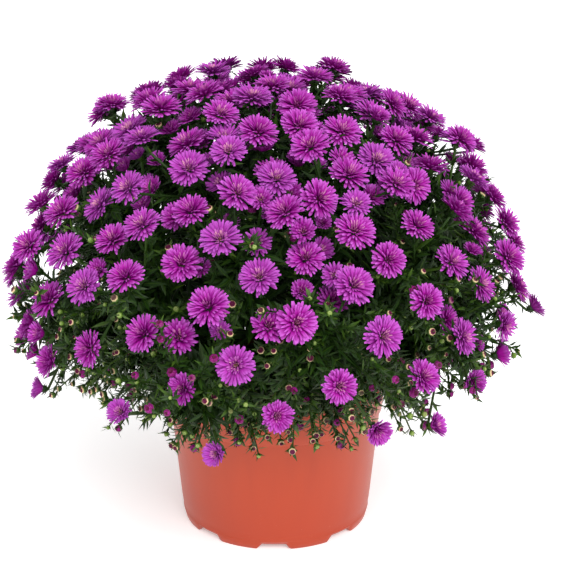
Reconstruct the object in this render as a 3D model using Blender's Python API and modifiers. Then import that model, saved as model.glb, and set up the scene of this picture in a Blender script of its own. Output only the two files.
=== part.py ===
"""Potted aster: a double-flowered bush in a plastic nursery pot.

Metres, +Z up. The origin is on the ground, on the pot's axis, and the dome's middle lies a little to one
side. Leafy stems stand in holes in the soil, and each carries one flower spray. Every place in the bush
follows from the driving dimensions below and from one seed.
"""
import math

import bpy
import numpy as np

# Pot, a 19 cm nursery pot
POT_HEIGHT = 0.130
RIM_RADIUS = 0.0955
COLLAR_EDGE_Z = 0.101
COLLAR_STEP = 0.0016
FOOT_RADIUS = 0.0795
WALL_SLOPE = 0.096
WALL = 0.0016
FOOT_BEND_Z = 0.024
FOOT_BEND = 0.0012
SKIRT_HEIGHT = 0.008
SKIRT_PROUD = 0.0004
FOOT_WIDTH = 0.0036
EDGE_ROUND = 0.0008
FLOOR_Z = 0.0065
POT_STEPS = 30
NOTCHES = 8
NOTCH_TURN = math.radians(-1.1)
NOTCH_LOW_WIDTH = 0.029
NOTCH_HIGH_WIDTH = 0.020
NOTCH_HEIGHT = 0.005
DRAIN_RING = 0.058
DRAIN_RADIUS = 0.0045
DRAIN_SIDES = 6

# Soil
SOIL_TOP = 0.118
SOIL_STEPS = 20
CONTACT_GAP = 0.0003
SHARP_FROM = math.radians(30)

# Dome that the blooms lie on
SEED = 11
DOME_CENTRE = np.array([-0.0063, -0.0014, 0.182])
DOME_RADIUS = 0.208
DOME_RISE = 0.206
DOME_DROP = 0.105
DOME_POWER = 2.35
LOWEST_ANGLE = math.radians(98.5)
CROWDING_ANGLES = np.radians([0, 42, 62, 80, 98.5])
CROWDING = np.array([1.0, 1.0, 0.72, 0.45, 0.40])
STRAY_DIRECTION = np.array([0.985, 0.0, 0.17])
STRAY_REACH = 0.018
PUSH_ROUNDS = 80
PUSH = 0.3
GOLDEN_TURN = math.pi * (3 - math.sqrt(5))

# Blooms
BLOOM_COUNT = 198
BLOOM_RADIUS = 0.0155
BLOOM_SPACING = 0.0350
BLOOM_STAGGER = 0.011
BLOOM_LOOSENESS = 0.035
BLOOM_LIFT = 0.38
BLOOM_TILT = 0.22
BLOOM_SIZES = (0.90, 1.06)
PETALS = 6
PETAL_NOTCH = 0.64
PETAL_NOTCH_LIFT = 0.0012
INNER_REACH = 0.60
INNER_RISE = 0.0052
EYE_RISE = 0.0018
CUP_DEPTH = 0.0085
NECK_RADIUS = 0.0017

# Sprays
SPRAY_COUNT = 29
FORK_REACH = 0.72
STALK_RADIUS = 0.0024
BRANCH_RADIUS = 0.0009
BRANCH_LOWEST = 0.10
BRANCH_HIGHEST = 0.46
NECK_GUARD = 2

# Leafy stems
STEM_SIDES = 5
STEM_RADIUS = 0.0018
STEM_DEPTH = 0.022
STEM_CLEAR = 0.004
STEM_FOOT_RING = 0.071
STEM_RISE = 0.046
HOLE_RADIUS = 0.0022
FORK_RADIUS = 0.0031
SHAFT_RADIUS = 0.0032
LEVEL_SPACING = 0.0255
FIRST_LEVEL = 0.38
LAST_LEVEL = 0.95
LEAF_LENGTHS = (0.032, 0.045)
LEAF_RISES = (0.1, 0.7)
LEAF_TRIMS = (1, 0.8, 0.62, 0.45, 0.3, 0.18)
LEAF_ROOT = 0.0036

# Budded shoots between the blooms
BUDS_HIGH = 1
BUDS_LOW = 2
LOW_STEM_ANGLE = math.radians(60)
SHOOT_LENGTHS = (0.050, 0.066)
SHOOT_SPREADS = (0.25, 0.95)
SHOOT_ROOTS = (0.76, 0.96)
SHOOT_TRIALS = 16
SHOOT_SHAKE = 0.3
SHOOT_RADIUS = 0.0008
SHOOT_TAPER = 0.9
BUD_RADIUS = 0.0026
BUD_NECK = 1.6
BUD_WAIST = 0.4

# Room between the nodes
KEEP_CLEAR = 0.0007
BALL_STEP = 0.003
RIM_GUARD = 0.003
RIM_GUARD_LOW = 0.08
RIM_GUARD_RINGS = 11
RIM_GUARD_POINTS = 240
PATH_MARKS = 9
UP = np.array([0.0, 0.0, 1.0])


def unit(v):
    """Vectors scaled to length one."""
    return v / np.linalg.norm(v, axis=-1, keepdims=True)


def crowding(directions):
    """How closely the blooms lie in each direction, as a share of that at the top."""
    polar = np.arccos(np.clip(directions[..., 2], -1, 1))
    return np.interp(polar, CROWDING_ANGLES, CROWDING)


def dome_reach(directions):
    """Distance from the dome's centre to its surface in each direction."""
    side = np.hypot(directions[..., 0], directions[..., 1]) / DOME_RADIUS
    depth = np.where(directions[..., 2] > 0, DOME_RISE, DOME_DROP)
    height = np.abs(directions[..., 2]) / depth
    return (side ** DOME_POWER + height ** DOME_POWER) ** (-1 / DOME_POWER)


def spiral(count):
    """Directions on a golden-angle spiral, spaced as the crowding asks."""
    angles = np.linspace(0, LOWEST_ANGLE, 500)
    filled = np.cumsum(np.interp(angles, CROWDING_ANGLES, CROWDING) * np.sin(angles))
    polar = np.interp((np.arange(count) + 0.5) / count, filled / filled[-1], angles)
    turn = np.arange(count) * GOLDEN_TURN
    return np.stack([np.sin(polar) * np.cos(turn), np.sin(polar) * np.sin(turn), np.cos(polar)], axis=1)


def bloom_layout(rng):
    """Places and facings of the blooms: the spiral, shaken and then pushed apart."""
    stagger = rng.uniform(-BLOOM_STAGGER, BLOOM_STAGGER, BLOOM_COUNT)
    directions = unit(spiral(BLOOM_COUNT) + rng.normal(0, BLOOM_LOOSENESS, (BLOOM_COUNT, 3)))
    stagger[np.argmax(directions @ STRAY_DIRECTION)] = STRAY_REACH
    for _ in range(PUSH_ROUNDS):
        points = directions * (dome_reach(directions) + stagger)[:, None]
        apart = points[:, None] - points[None]
        distance = np.linalg.norm(apart, axis=2)
        np.fill_diagonal(distance, 1)
        tightness = np.sqrt(crowding(directions))
        wanted = BLOOM_SPACING * 2 / (tightness[:, None] + tightness[None])
        push = np.clip(wanted / distance - 1, 0, 1)
        np.fill_diagonal(push, 0)
        points = points + PUSH * (apart * push[..., None]).sum(axis=1)
        directions = unit(points)
    points = DOME_CENTRE + directions * (dome_reach(directions) + stagger)[:, None]
    facing = unit(directions + np.array([0, 0, BLOOM_LIFT]) + rng.normal(0, BLOOM_TILT, directions.shape))
    return points, directions, facing


def perpendicular(axis):
    """A direction across an axis."""
    guide = np.array([0, 0, 1]) if abs(axis[2]) < 0.9 else np.array([1, 0, 0])
    return unit(np.cross(guide, axis))


def section(centre, axis, across, reach, lift=0.0):
    """Points round an axis, each at its own reach and lift."""
    across = unit(across - axis * np.dot(across, axis))
    turn = np.arange(len(reach)) * 2 * math.pi / len(reach)
    side = np.outer(np.cos(turn), across) + np.outer(np.sin(turn), np.cross(axis, across))
    return centre + side * reach[:, None] + np.outer(np.broadcast_to(lift, len(reach)), axis)


def loft(rings):
    """Corners and faces of a closed skin over rings that may have unlike numbers of points."""
    starts = np.cumsum([0] + [len(ring) for ring in rings])
    faces = []
    for low, high, a, b in zip(rings[:-1], rings[1:], starts[:-1], starts[1:]):
        if len(low) == len(high):
            near = [(i, (i + 1) % len(low)) for i in range(len(low))]
            faces += [(a + i, a + k, b + k, b + i) for i, k in near]
            continue
        i = j = 0
        while i < len(low) or j < len(high):
            ahead, behind = (i + 1) / len(low), (j + 1) / len(high)
            this, other = a + i % len(low), b + j % len(high)
            if behind <= ahead and j < len(high):
                j += 1
                faces.append((this, b + j % len(high), other))
            else:
                i += 1
                faces.append((this, a + i % len(low), other))
    faces = [face for face in faces if len(set(face)) == len(face)]
    if len(rings[0]) > 2:
        faces.append(tuple(range(len(rings[0])))[::-1])
    if len(rings[-1]) > 2:
        faces.append(tuple(range(starts[-2], starts[-1])))
    return np.concatenate(rings), faces


def bloom(root, root_radius, root_axis, centre, facing, size, turn):
    """Rings of a bloom on its stalk: a cup, a ring of outer petals and a raised ring of inner ones."""
    neck = centre - facing * CUP_DEPTH * size
    aim = unit(neck - root)
    across = perpendicular(aim)
    petal_across = section(np.zeros(3), facing, across, np.ones(360))[turn]
    outer = BLOOM_RADIUS * size * np.tile([PETAL_NOTCH, 1.0], PETALS)
    inner = np.full(PETALS, BLOOM_RADIUS * size * INNER_REACH)
    return [
        section(root, root_axis, petal_across, np.full(3, root_radius)),
        section(neck, aim, petal_across, np.full(3, NECK_RADIUS)),
        section(centre, facing, petal_across, outer, np.tile([PETAL_NOTCH_LIFT, 0.0], PETALS)),
        section(centre, facing, petal_across, inner, INNER_RISE * size),
        centre[None] + facing * EYE_RISE * size,
    ]


def bud(root, tip):
    """Rings of a round bud on its shoot."""
    aim = unit(tip - root)
    across = perpendicular(aim)
    return [
        section(root, aim, across, np.full(3, SHOOT_RADIUS)),
        section(tip - aim * BUD_RADIUS * BUD_NECK, aim, across, np.full(3, SHOOT_RADIUS * SHOOT_TAPER)),
        section(tip - aim * BUD_RADIUS * BUD_WAIST, aim, across, np.full(4, BUD_RADIUS)),
        (tip + aim * BUD_RADIUS)[None],
    ]


class Room:
    """The space already taken, as balls along each piece, with the node that each belongs to."""

    def __init__(self):
        self.points = np.zeros((0, 3))
        self.radii = np.zeros(0)
        self.owners = np.zeros(0, int)

    @staticmethod
    def balls(line, radii):
        """Balls every few millimetres along a broken line."""
        line = np.asarray(line)
        steps = np.concatenate([[0], np.cumsum(np.linalg.norm(np.diff(line, axis=0), axis=1))])
        marks = np.linspace(0, steps[-1], max(2, int(steps[-1] / BALL_STEP)))
        points = np.stack([np.interp(marks, steps, line[:, k]) for k in range(3)], axis=1)
        return points, np.interp(marks, steps, radii)

    def take(self, owner, line, radii):
        """Marks a piece's room as taken."""
        points, sizes = self.balls(line, radii)
        self.points = np.concatenate([self.points, points])
        self.radii = np.concatenate([self.radii, sizes])
        self.owners = np.concatenate([self.owners, np.full(len(points), owner)])

    def clear(self, owner, line, radii):
        """Whether a piece keeps clear of every other node."""
        points, sizes = self.balls(line, radii)
        others = self.owners != owner
        distance = np.linalg.norm(points[:, None] - self.points[others][None], axis=2)
        return bool((distance - sizes[:, None] - self.radii[others][None]).min() > KEEP_CLEAR)


def stem_path(direction):
    """Start, rise and fork of a stem: it leaves the soil upright and bends over to its fork."""
    flat = direction[:2] / max(np.linalg.norm(direction[:2]), 1e-9)
    lean = min(math.acos(direction[2]), math.pi / 2)
    start = np.append(flat * STEM_FOOT_RING * math.sin(lean), SOIL_TOP + STEM_CLEAR)
    rise = start + np.array([0, 0, STEM_RISE])
    fork = DOME_CENTRE + direction * dome_reach(direction) * FORK_REACH
    return start, rise, fork


def along(path, t):
    """Point and direction at a share of the way along a stem."""
    start, rise, fork = path
    point = (1 - t) ** 2 * start + 2 * t * (1 - t) * rise + t ** 2 * fork
    return point, unit(2 * (1 - t) * (rise - start) + 2 * t * (fork - rise))


def plan_spray(rng, room, k, path, members, layout):
    """Pieces of one spray: the stalk of its middle bloom, and the others branching off it."""
    points, facing = layout
    fork, aim = along(path, 1.0)
    base = fork + aim * CONTACT_GAP
    pieces = []
    main = None
    for order, m in enumerate(members):
        size = rng.uniform(*BLOOM_SIZES)
        neck = points[m] - facing[m] * CUP_DEPTH * size
        if main is None:
            main = neck
            root, radius, root_axis = base, STALK_RADIUS, aim
        else:
            share = BRANCH_HIGHEST - (BRANCH_HIGHEST - BRANCH_LOWEST) * order / len(members)
            root, radius = base + (main - base) * share, BRANCH_RADIUS
            root_axis = unit(neck - root)
        pieces.append(bloom(root, radius, root_axis, points[m], facing[m], size, int(rng.integers(360))))
        room.take(SPRAY_COUNT + k, [root, neck], [radius, NECK_RADIUS])
        room.take(SPRAY_COUNT + k, [neck, points[m]], [NECK_RADIUS * NECK_GUARD, BLOOM_RADIUS * size])
    return pieces


def plan_shoots(rng, room, k, path):
    """Budded shoots that reach up between the blooms, more of them on the low stems."""
    pieces = []
    low = math.acos(unit(path[2] - DOME_CENTRE)[2]) > LOW_STEM_ANGLE
    wanted = BUDS_LOW if low else BUDS_HIGH
    for trial in range(wanted * SHOOT_TRIALS):
        root, axis = along(path, rng.uniform(*SHOOT_ROOTS))
        across = perpendicular(axis)
        turn = trial * GOLDEN_TURN + rng.uniform(-SHOOT_SHAKE, SHOOT_SHAKE)
        side = math.cos(turn) * across + math.sin(turn) * np.cross(axis, across)
        tip = root + unit(axis + side * rng.uniform(*SHOOT_SPREADS)) * rng.uniform(*SHOOT_LENGTHS)
        radii = [SHOOT_RADIUS, BUD_RADIUS]
        if len(pieces) < wanted and room.clear(k, [root, tip], radii):
            pieces.append(bud(root, tip))
            room.take(k, [root, tip], radii)
    return pieces


def star_of_leaves(rng, room, k, centre, axis, across):
    """Reach and lift of the points of one star of leaves, every leaf as long as it has room."""
    spokes = section(np.zeros(3), axis, across, np.ones(2 * STEM_SIDES))
    reach, lift = np.full(2 * STEM_SIDES, SHAFT_RADIUS), np.zeros(2 * STEM_SIDES)
    for n in range(1, 2 * STEM_SIDES, 2):
        slope = rng.uniform(*LEAF_RISES)
        full = rng.uniform(*LEAF_LENGTHS)
        for trim in LEAF_TRIMS:
            reach[n], lift[n] = full * trim, full * trim * slope
            line = [centre, centre + spokes[n] * reach[n] + axis * lift[n]]
            if room.clear(k, line, [SHAFT_RADIUS, SHOOT_RADIUS]):
                break
        room.take(k, line, [SHAFT_RADIUS, SHOOT_RADIUS])
    return reach, lift


def plan_stem(rng, room, k, path):
    """Rings of one stem, from its foot in the soil past its stars of leaves to its fork."""
    start, rise, fork = path
    flat = unit(np.cross(UP, fork - start))
    foot = start - UP * (STEM_DEPTH + STEM_CLEAR)
    rings = [section(place, UP, flat, np.full(STEM_SIDES, STEM_RADIUS)) for place in (foot, start)]
    length = np.linalg.norm(rise - start) + np.linalg.norm(fork - rise)
    levels = int(length * (1 - FIRST_LEVEL) / LEVEL_SPACING)
    shaft = np.full(STEM_SIDES, SHAFT_RADIUS)
    for level, t in enumerate(np.linspace(FIRST_LEVEL, LAST_LEVEL, levels)):
        centre, axis = along(path, t)
        across = section(np.zeros(3), axis, flat, np.ones(2 * STEM_SIDES))[level % 2]
        reach, lift = star_of_leaves(rng, room, k, centre, axis, across)
        rings.append(section(centre - axis * LEAF_ROOT, axis, across, shaft))
        rings.append(section(centre, axis, across, reach, lift))
        rings.append(section(centre + axis * LEAF_ROOT, axis, across, shaft))
    aim = along(path, 1.0)[1]
    rings.append(section(fork, aim, across, np.full(STEM_SIDES, FORK_RADIUS)))
    return rings


def plan():
    """The bush: for each stem its path, and the rings of every piece of its two nodes."""
    rng = np.random.default_rng(SEED)
    points, directions, facing = bloom_layout(rng)
    sprays = spiral(SPRAY_COUNT)
    home = np.argmax(directions @ sprays.T, axis=1)
    room = Room()
    for z in np.linspace(RIM_GUARD_LOW, POT_HEIGHT, RIM_GUARD_RINGS):
        reach = np.full(RIM_GUARD_POINTS, wall_radius(z) + COLLAR_STEP)
        ring = section(UP * z, UP, np.array([1.0, 0, 0]), reach)
        room.take(-1, ring, np.full(RIM_GUARD_POINTS, RIM_GUARD))
    bush = [{"path": stem_path(direction)} for direction in sprays]
    for k, stem in enumerate(bush):
        members = np.flatnonzero(home == k)
        members = members[np.argsort(-(directions[members] @ sprays[k]))]
        stem["spray"] = plan_spray(rng, room, k, stem["path"], members, (points, facing))
        line = [along(stem["path"], t)[0] for t in np.linspace(0, 1, PATH_MARKS)]
        room.take(k, line, np.full(PATH_MARKS, SHAFT_RADIUS))
    for k, stem in enumerate(bush):
        stem["shoots"] = plan_shoots(rng, room, k, stem["path"])
    for k, stem in enumerate(bush):
        stem["stem"] = plan_stem(rng, room, k, stem["path"])
    return bush


def collect(name):
    """A new collection in the scene."""
    group = bpy.data.collections.new(name)
    bpy.context.scene.collection.children.link(group)
    return group


def solid(name, rings, group):
    """An object with the closed skin over some rings."""
    corners, faces = loft(rings)
    mesh = bpy.data.meshes.new(name)
    mesh.from_pydata(corners.tolist(), [], faces)
    item = bpy.data.objects.new(name, mesh)
    group.objects.link(item)
    return item


def material(name, colour, roughness):
    """A Principled material."""
    made = bpy.data.materials.new(name)
    made.use_nodes = True
    shader = made.node_tree.nodes["Principled BSDF"]
    shader.inputs["Base Color"].default_value = (*colour, 1)
    shader.inputs["Roughness"].default_value = roughness
    shader.inputs["Metallic"].default_value = 0
    return made


def bake(item):
    """Replaces an object's mesh by what its modifiers make."""
    bpy.context.view_layer.update()
    mesh = bpy.data.meshes.new_from_object(item.evaluated_get(bpy.context.evaluated_depsgraph_get()))
    item.modifiers.clear()
    item.data = mesh


def boolean(item, operation, group, solver="EXACT"):
    """Joins an object with every object of a group, or cuts it by them."""
    change = item.modifiers.new(operation.lower(), "BOOLEAN")
    change.operation = operation
    change.operand_type = "COLLECTION"
    change.collection = group
    change.solver = solver


def fuse(name, pieces, group, finish):
    """One node out of overlapping pieces. The exact solver leaves one of these sprays in two bodies."""
    base = solid(name, pieces[0], group)
    repeats = collect(name + "_repeats")
    for number, rings in enumerate(pieces[1:]):
        solid(f"{name}_piece_{number:02d}", rings, repeats)
    boolean(base, "UNION", repeats, "MANIFOLD")
    bake(base)
    for item in list(repeats.objects):
        bpy.data.objects.remove(item)
    bpy.data.collections.remove(repeats)
    base.data.materials.clear()
    base.data.materials.append(finish)


def turned(name, profile, steps, group):
    """A body turned about Z from its closed profile of radius and height."""
    mesh = bpy.data.meshes.new(name)
    corners = [(radius, 0, z) for radius, z in profile]
    mesh.from_pydata(corners, [(i, (i + 1) % len(corners)) for i in range(len(corners))], [])
    item = bpy.data.objects.new(name, mesh)
    group.objects.link(item)
    screw = item.modifiers.new("screw", "SCREW")
    screw.steps = screw.render_steps = steps
    screw.use_merge_vertices = True
    screw.merge_threshold = 0.0001
    return item


def cut_round(item, cutters, finish):
    """Cuts a round body, and gives it its material and smooth shading."""
    boolean(item, "DIFFERENCE", cutters)
    item.data.materials.append(finish)
    bake(item)
    item.data.shade_smooth()
    item.data.set_sharp_from_angle(angle=SHARP_FROM)


def wall_radius(z):
    """Outer radius of the pot's wall, with the bend above its foot."""
    bend = max(0.0, 1 - z / FOOT_BEND_Z)
    return FOOT_RADIUS + WALL_SLOPE * z + FOOT_BEND * (1 - bend ** 2)


def make_pot(group, cutters, finish):
    """The pot: collar, wall, skirted foot with notches, and a raised floor with drain holes."""
    collar_radius = wall_radius(COLLAR_EDGE_Z) + COLLAR_STEP
    profile = [
        (RIM_RADIUS - EDGE_ROUND, POT_HEIGHT),
        (RIM_RADIUS, POT_HEIGHT - EDGE_ROUND),
        (collar_radius, COLLAR_EDGE_Z),
        (wall_radius(COLLAR_EDGE_Z), COLLAR_EDGE_Z - EDGE_ROUND),
        (wall_radius(FOOT_BEND_Z), FOOT_BEND_Z),
        (wall_radius(SKIRT_HEIGHT), SKIRT_HEIGHT),
        (wall_radius(SKIRT_HEIGHT) + SKIRT_PROUD, SKIRT_HEIGHT - EDGE_ROUND),
        (FOOT_RADIUS, 0),
        (FOOT_RADIUS - FOOT_WIDTH, 0),
        (FOOT_RADIUS - FOOT_WIDTH, FLOOR_Z),
        (0, FLOOR_Z),
        (0, FLOOR_Z + WALL),
        (wall_radius(FLOOR_Z) - WALL, FLOOR_Z + WALL),
        (wall_radius(COLLAR_EDGE_Z) - WALL, COLLAR_EDGE_Z - EDGE_ROUND),
        (RIM_RADIUS - EDGE_ROUND - WALL, POT_HEIGHT),
    ]
    pot = turned("pot", profile, POT_STEPS, group)
    for k in range(NOTCHES):
        angle = NOTCH_TURN - math.pi / 2 + k * 2 * math.pi / NOTCHES
        add_notch(f"notch_{k}", angle, cutters)
        bpy.ops.mesh.primitive_cylinder_add(
            vertices=DRAIN_SIDES,
            radius=DRAIN_RADIUS,
            depth=WALL * 4,
            location=(DRAIN_RING * math.cos(angle), DRAIN_RING * math.sin(angle), FLOOR_Z + WALL / 2),
        )
        drain = bpy.context.object
        drain.name = f"drain_{k}"
        move_to(drain, cutters)
    cut_round(pot, cutters, finish)


def move_to(item, group):
    """Moves an object to one group."""
    for old in list(item.users_collection):
        old.objects.unlink(item)
    group.objects.link(item)


def add_notch(name, angle, cutters):
    """A trapezoid cutter through the pot's foot, running on below the ground."""
    widening = (NOTCH_LOW_WIDTH - NOTCH_HIGH_WIDTH) / 2
    low = NOTCH_LOW_WIDTH / 2 + widening
    high = NOTCH_HIGH_WIDTH / 2
    outline = [(low, -NOTCH_HEIGHT), (high, NOTCH_HEIGHT), (-high, NOTCH_HEIGHT), (-low, -NOTCH_HEIGHT)]
    out = np.array([math.cos(angle), math.sin(angle), 0])
    side = np.array([-math.sin(angle), math.cos(angle), 0])
    rings = []
    for radius in (FOOT_RADIUS - FOOT_WIDTH * 2, FOOT_RADIUS + FOOT_WIDTH):
        rings.append(np.array([out * radius + side * x + UP * z for x, z in outline]))
    solid(name, rings, cutters)


def make_soil(bush, group, cutters, finish):
    """The soil: a filling with a plain hole for each stem."""
    clear = WALL + CONTACT_GAP * 3
    bottom = FLOOR_Z + WALL + CONTACT_GAP
    bpy.ops.mesh.primitive_cone_add(
        vertices=SOIL_STEPS,
        radius1=wall_radius(FLOOR_Z) - clear,
        radius2=wall_radius(SOIL_TOP) - clear,
        depth=SOIL_TOP - bottom,
        location=(0, 0, (SOIL_TOP + bottom) / 2),
    )
    soil = bpy.context.object
    soil.name = "soil"
    move_to(soil, group)
    for k, stem in enumerate(bush):
        foot = stem["stem"][0]
        middle = foot.mean(axis=0)
        outline = middle + (foot - middle) * HOLE_RADIUS / STEM_RADIUS
        rings = [outline - UP * CONTACT_GAP, outline + UP * (STEM_DEPTH + STEM_CLEAR)]
        solid(f"hole_{k:02d}", rings, cutters)
    cut_round(soil, cutters, finish)


def main():
    """Builds the whole object."""
    for item in list(bpy.data.objects):
        bpy.data.objects.remove(item)
    group = collect("potted_aster")
    pot_cutters = collect("pot_cutters")
    soil_cutters = collect("soil_cutters")
    bush = plan()
    make_pot(group, pot_cutters, material("pot_plastic", (0.60, 0.10, 0.05), 0.4))
    make_soil(bush, group, soil_cutters, material("peat", (0.03, 0.02, 0.015), 0.95))
    green = material("leaf_green", (0.035, 0.085, 0.02), 0.55)
    magenta = material("petal_magenta", (0.35, 0.03, 0.33), 0.6)
    for k, stem in enumerate(bush):
        fuse(f"leafy_stem_{k:02d}", [stem["stem"], *stem["shoots"]], group, green)
        fuse(f"flower_spray_{k:02d}", stem["spray"], group, magenta)
    for cutters in (pot_cutters, soil_cutters):
        for item in cutters.objects:
            item.hide_render = True
            item.display_type = "WIRE"


main()
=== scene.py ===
"""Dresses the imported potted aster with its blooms, leafy stems, buds, soil and plastic pot.

The bush's plan (stems, blooms, budded shoots and leaf stars) is worked out here as in the part's own source,
from the same sizes and the same seed, so every fine piece lies where its solid does. Metres, +Z up.
"""
import math

import bpy
import numpy as np
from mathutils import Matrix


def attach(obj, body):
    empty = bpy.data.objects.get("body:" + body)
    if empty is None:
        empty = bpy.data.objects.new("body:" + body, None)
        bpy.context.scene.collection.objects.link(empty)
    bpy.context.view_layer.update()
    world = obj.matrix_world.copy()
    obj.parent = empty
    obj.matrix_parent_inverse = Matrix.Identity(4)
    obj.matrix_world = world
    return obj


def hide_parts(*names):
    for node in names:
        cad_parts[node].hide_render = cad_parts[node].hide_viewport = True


bl_info = {
    "name": "Potted Aster",
    "version": (1, 0, 0),
    "blender": (4, 5, 0),
    "location": "View3D > Sidebar > Aster",
    "description": "Builds a potted aster bush in flower around its packed model",
    "category": "Add Mesh",
}

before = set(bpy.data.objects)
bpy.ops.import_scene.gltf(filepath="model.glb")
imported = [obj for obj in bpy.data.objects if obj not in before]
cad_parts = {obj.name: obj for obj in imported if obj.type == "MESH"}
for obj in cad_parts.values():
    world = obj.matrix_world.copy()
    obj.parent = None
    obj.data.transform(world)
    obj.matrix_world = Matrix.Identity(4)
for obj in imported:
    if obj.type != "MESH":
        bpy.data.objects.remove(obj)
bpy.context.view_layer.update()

# Pot and soil, as in the solids
POT_HEIGHT = 0.130
RIM_RADIUS = 0.0955
COLLAR_EDGE_Z = 0.101
COLLAR_STEP = 0.0016
FOOT_RADIUS = 0.0795
WALL_SLOPE = 0.096
WALL = 0.0016
FOOT_BEND_Z = 0.024
FOOT_BEND = 0.0012
SKIRT_HEIGHT = 0.008
SKIRT_PROUD = 0.0004
FOOT_WIDTH = 0.0036
EDGE_ROUND = 0.0008
FLOOR_Z = 0.0065
NOTCHES = 8
NOTCH_TURN = math.radians(-1.1)
NOTCH_LOW_WIDTH = 0.029
NOTCH_HIGH_WIDTH = 0.020
NOTCH_HEIGHT = 0.005
DRAIN_RING = 0.058
DRAIN_RADIUS = 0.0045
SOIL_TOP = 0.118
CONTACT_GAP = 0.0003

# Dome that the blooms lie on, as in the solids
SEED = 11
DOME_CENTRE = np.array([-0.0063, -0.0014, 0.182])
DOME_RADIUS = 0.208
DOME_RISE = 0.206
DOME_DROP = 0.105
DOME_POWER = 2.35
CROWDING_ANGLES = np.radians([0, 42, 62, 80, 98.5])
CROWDING = np.array([1.0, 1.0, 0.72, 0.45, 0.40])
STRAY_DIRECTION = np.array([0.985, 0.0, 0.17])
STRAY_REACH = 0.018
PUSH_ROUNDS = 80
PUSH = 0.3
GOLDEN_TURN = math.pi * (3 - math.sqrt(5))
BLOOM_COUNT = 198
BLOOM_RADIUS = 0.0155
BLOOM_SPACING = 0.0350
BLOOM_STAGGER = 0.011
BLOOM_LOOSENESS = 0.035
BLOOM_LIFT = 0.38
BLOOM_TILT = 0.22
BLOOM_SIZES = (0.90, 1.06)
CUP_DEPTH = 0.0085
NECK_RADIUS = 0.0017
SPRAY_COUNT = 29
FORK_REACH = 0.72
STALK_RADIUS = 0.0024
BRANCH_RADIUS = 0.0009
BRANCH_LOWEST = 0.10
BRANCH_HIGHEST = 0.46
NECK_GUARD = 2
STEM_SIDES = 5
STEM_RADIUS = 0.0018
STEM_DEPTH = 0.022
STEM_CLEAR = 0.004
STEM_FOOT_RING = 0.071
STEM_RISE = 0.046
SHAFT_RADIUS = 0.0032
LEVEL_SPACING = 0.0255
FIRST_LEVEL = 0.38
LAST_LEVEL = 0.95
LEAF_LENGTHS = (0.032, 0.045)
LEAF_RISES = (0.1, 0.7)
LEAF_TRIMS = (1, 0.8, 0.62, 0.45, 0.3, 0.18)
BUDS_HIGH = 1
BUDS_LOW = 2
LOW_STEM_ANGLE = math.radians(60)
SHOOT_LENGTHS = (0.050, 0.066)
SHOOT_SPREADS = (0.25, 0.95)
SHOOT_ROOTS = (0.76, 0.96)
SHOOT_TRIALS = 16
SHOOT_SHAKE = 0.3
SHOOT_RADIUS = 0.0008
BUD_RADIUS = 0.0026
KEEP_CLEAR = 0.0007
BALL_STEP = 0.003
RIM_GUARD = 0.003
RIM_GUARD_LOW = 0.08
RIM_GUARD_RINGS = 11
RIM_GUARD_POINTS = 240
PATH_MARKS = 9
UP = np.array([0.0, 0.0, 1.0])
SIDEWAYS = np.array([1.0, 0.0, 0.0])
NEARLY_UPRIGHT = 0.9
SPIRAL_STEPS = 500

# Layers of a bloom's florets, outermost first: how many, how far out from the bloom's middle and up from it
# they root, and then end, and how wide they are, all in millimetres. Last is the angle that one bends by,
# root to tip.
LAYERS = (
    (34, 2.6, -3.6, 16.2, -0.7, 2.35, -0.50),
    (32, 2.4, -3.2, 15.3, 2.7, 2.15, -0.55),
    (26, 2.1, -2.8, 13.0, 5.8, 2.0, -0.55),
    (20, 1.7, -2.2, 9.8, 7.8, 1.9, -0.45),
    (14, 1.4, -1.6, 6.6, 7.9, 1.5, -0.15),
    (10, 1.0, -1.2, 3.8, 6.4, 1.2, 0.15),
    (7, 0.5, -0.6, 1.6, 4.6, 1.1, 0.25),
)
MILLIMETRE = 0.001
FINE_LAYERS = 2
OUTER_LAYERS = 3
HEART_SHRINK = 0.38
CLOSED_SLOPE = math.radians(74)

# Chance in a floret's turn, tilt, roll and curl, how far it starts ahead of its slope as a share of its bend,
# and the chance in its length and width. Late blooms have a share of the florets, and wider ones.
FLORET_TURN = 0.06
FLORET_TILTS = (0.09, 0.15)
FLORET_ROLL = 0.16
FLORET_CURL = 0.10
FLORET_LEAD = 0.45
FLORET_LENGTHS = (0.8961, 1.03)
FLORET_WIDTHS = (0.88, 1.12)
LATE_FLORETS = 0.55
LATE_WIDTH = 1.45
EYE_PROFILE = ((0, -0.0030), (0.0018, -0.0014), (0.0013, 0.0004), (0, 0.0010))

# Outlines of the thin blades: stations along the blade, its width there as a share of the whole one, how high
# the middle stands over the edges as a share of the half-width, and how far it lags at the tip as a share of
# the length. An end of no width is one point.
FLORET = dict(at=(0.0, 0.45, 0.84, 1.0), wide=(0, 0.84, 1.0, 0.50), crown=(0, 0.5, 0.36, 0.3), lag=0.10)
SMALL_FLORET = dict(at=(0.0, 0.62, 1.0), wide=(0, 1.0, 0.42), crown=(0, 0.55, 0.4), lag=0.09)
LEAF = dict(at=(0.0, 0.32, 0.70, 1.0), wide=(0, 0.92, 0.84, 0), crown=(0, 0.4, 0.35, 0), lag=0)
SMALL_LEAF = dict(at=(0.0, 0.45, 1.0), wide=(0, 1.0, 0), crown=(0, 0.4, 0), lag=0)
BRACT = dict(at=(0.0, 1.0), wide=(1.0, 0), crown=(0.4, 0), lag=0)
BLADE_BEND = 1.3

# How woody each green piece is, which the finish reads, and how many sides each round piece has
WOODY = {"leaf": 0.0, "bract": 0.2, "cup": 0.5, "stalk": 0.7, "stem": 1.0}
SIDES = {"stem": 8, "stalk": 5, "twig": 3, "cup": 6, "eye": 6, "bud": 7, "crumb": 6, "hole": 24}

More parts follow.
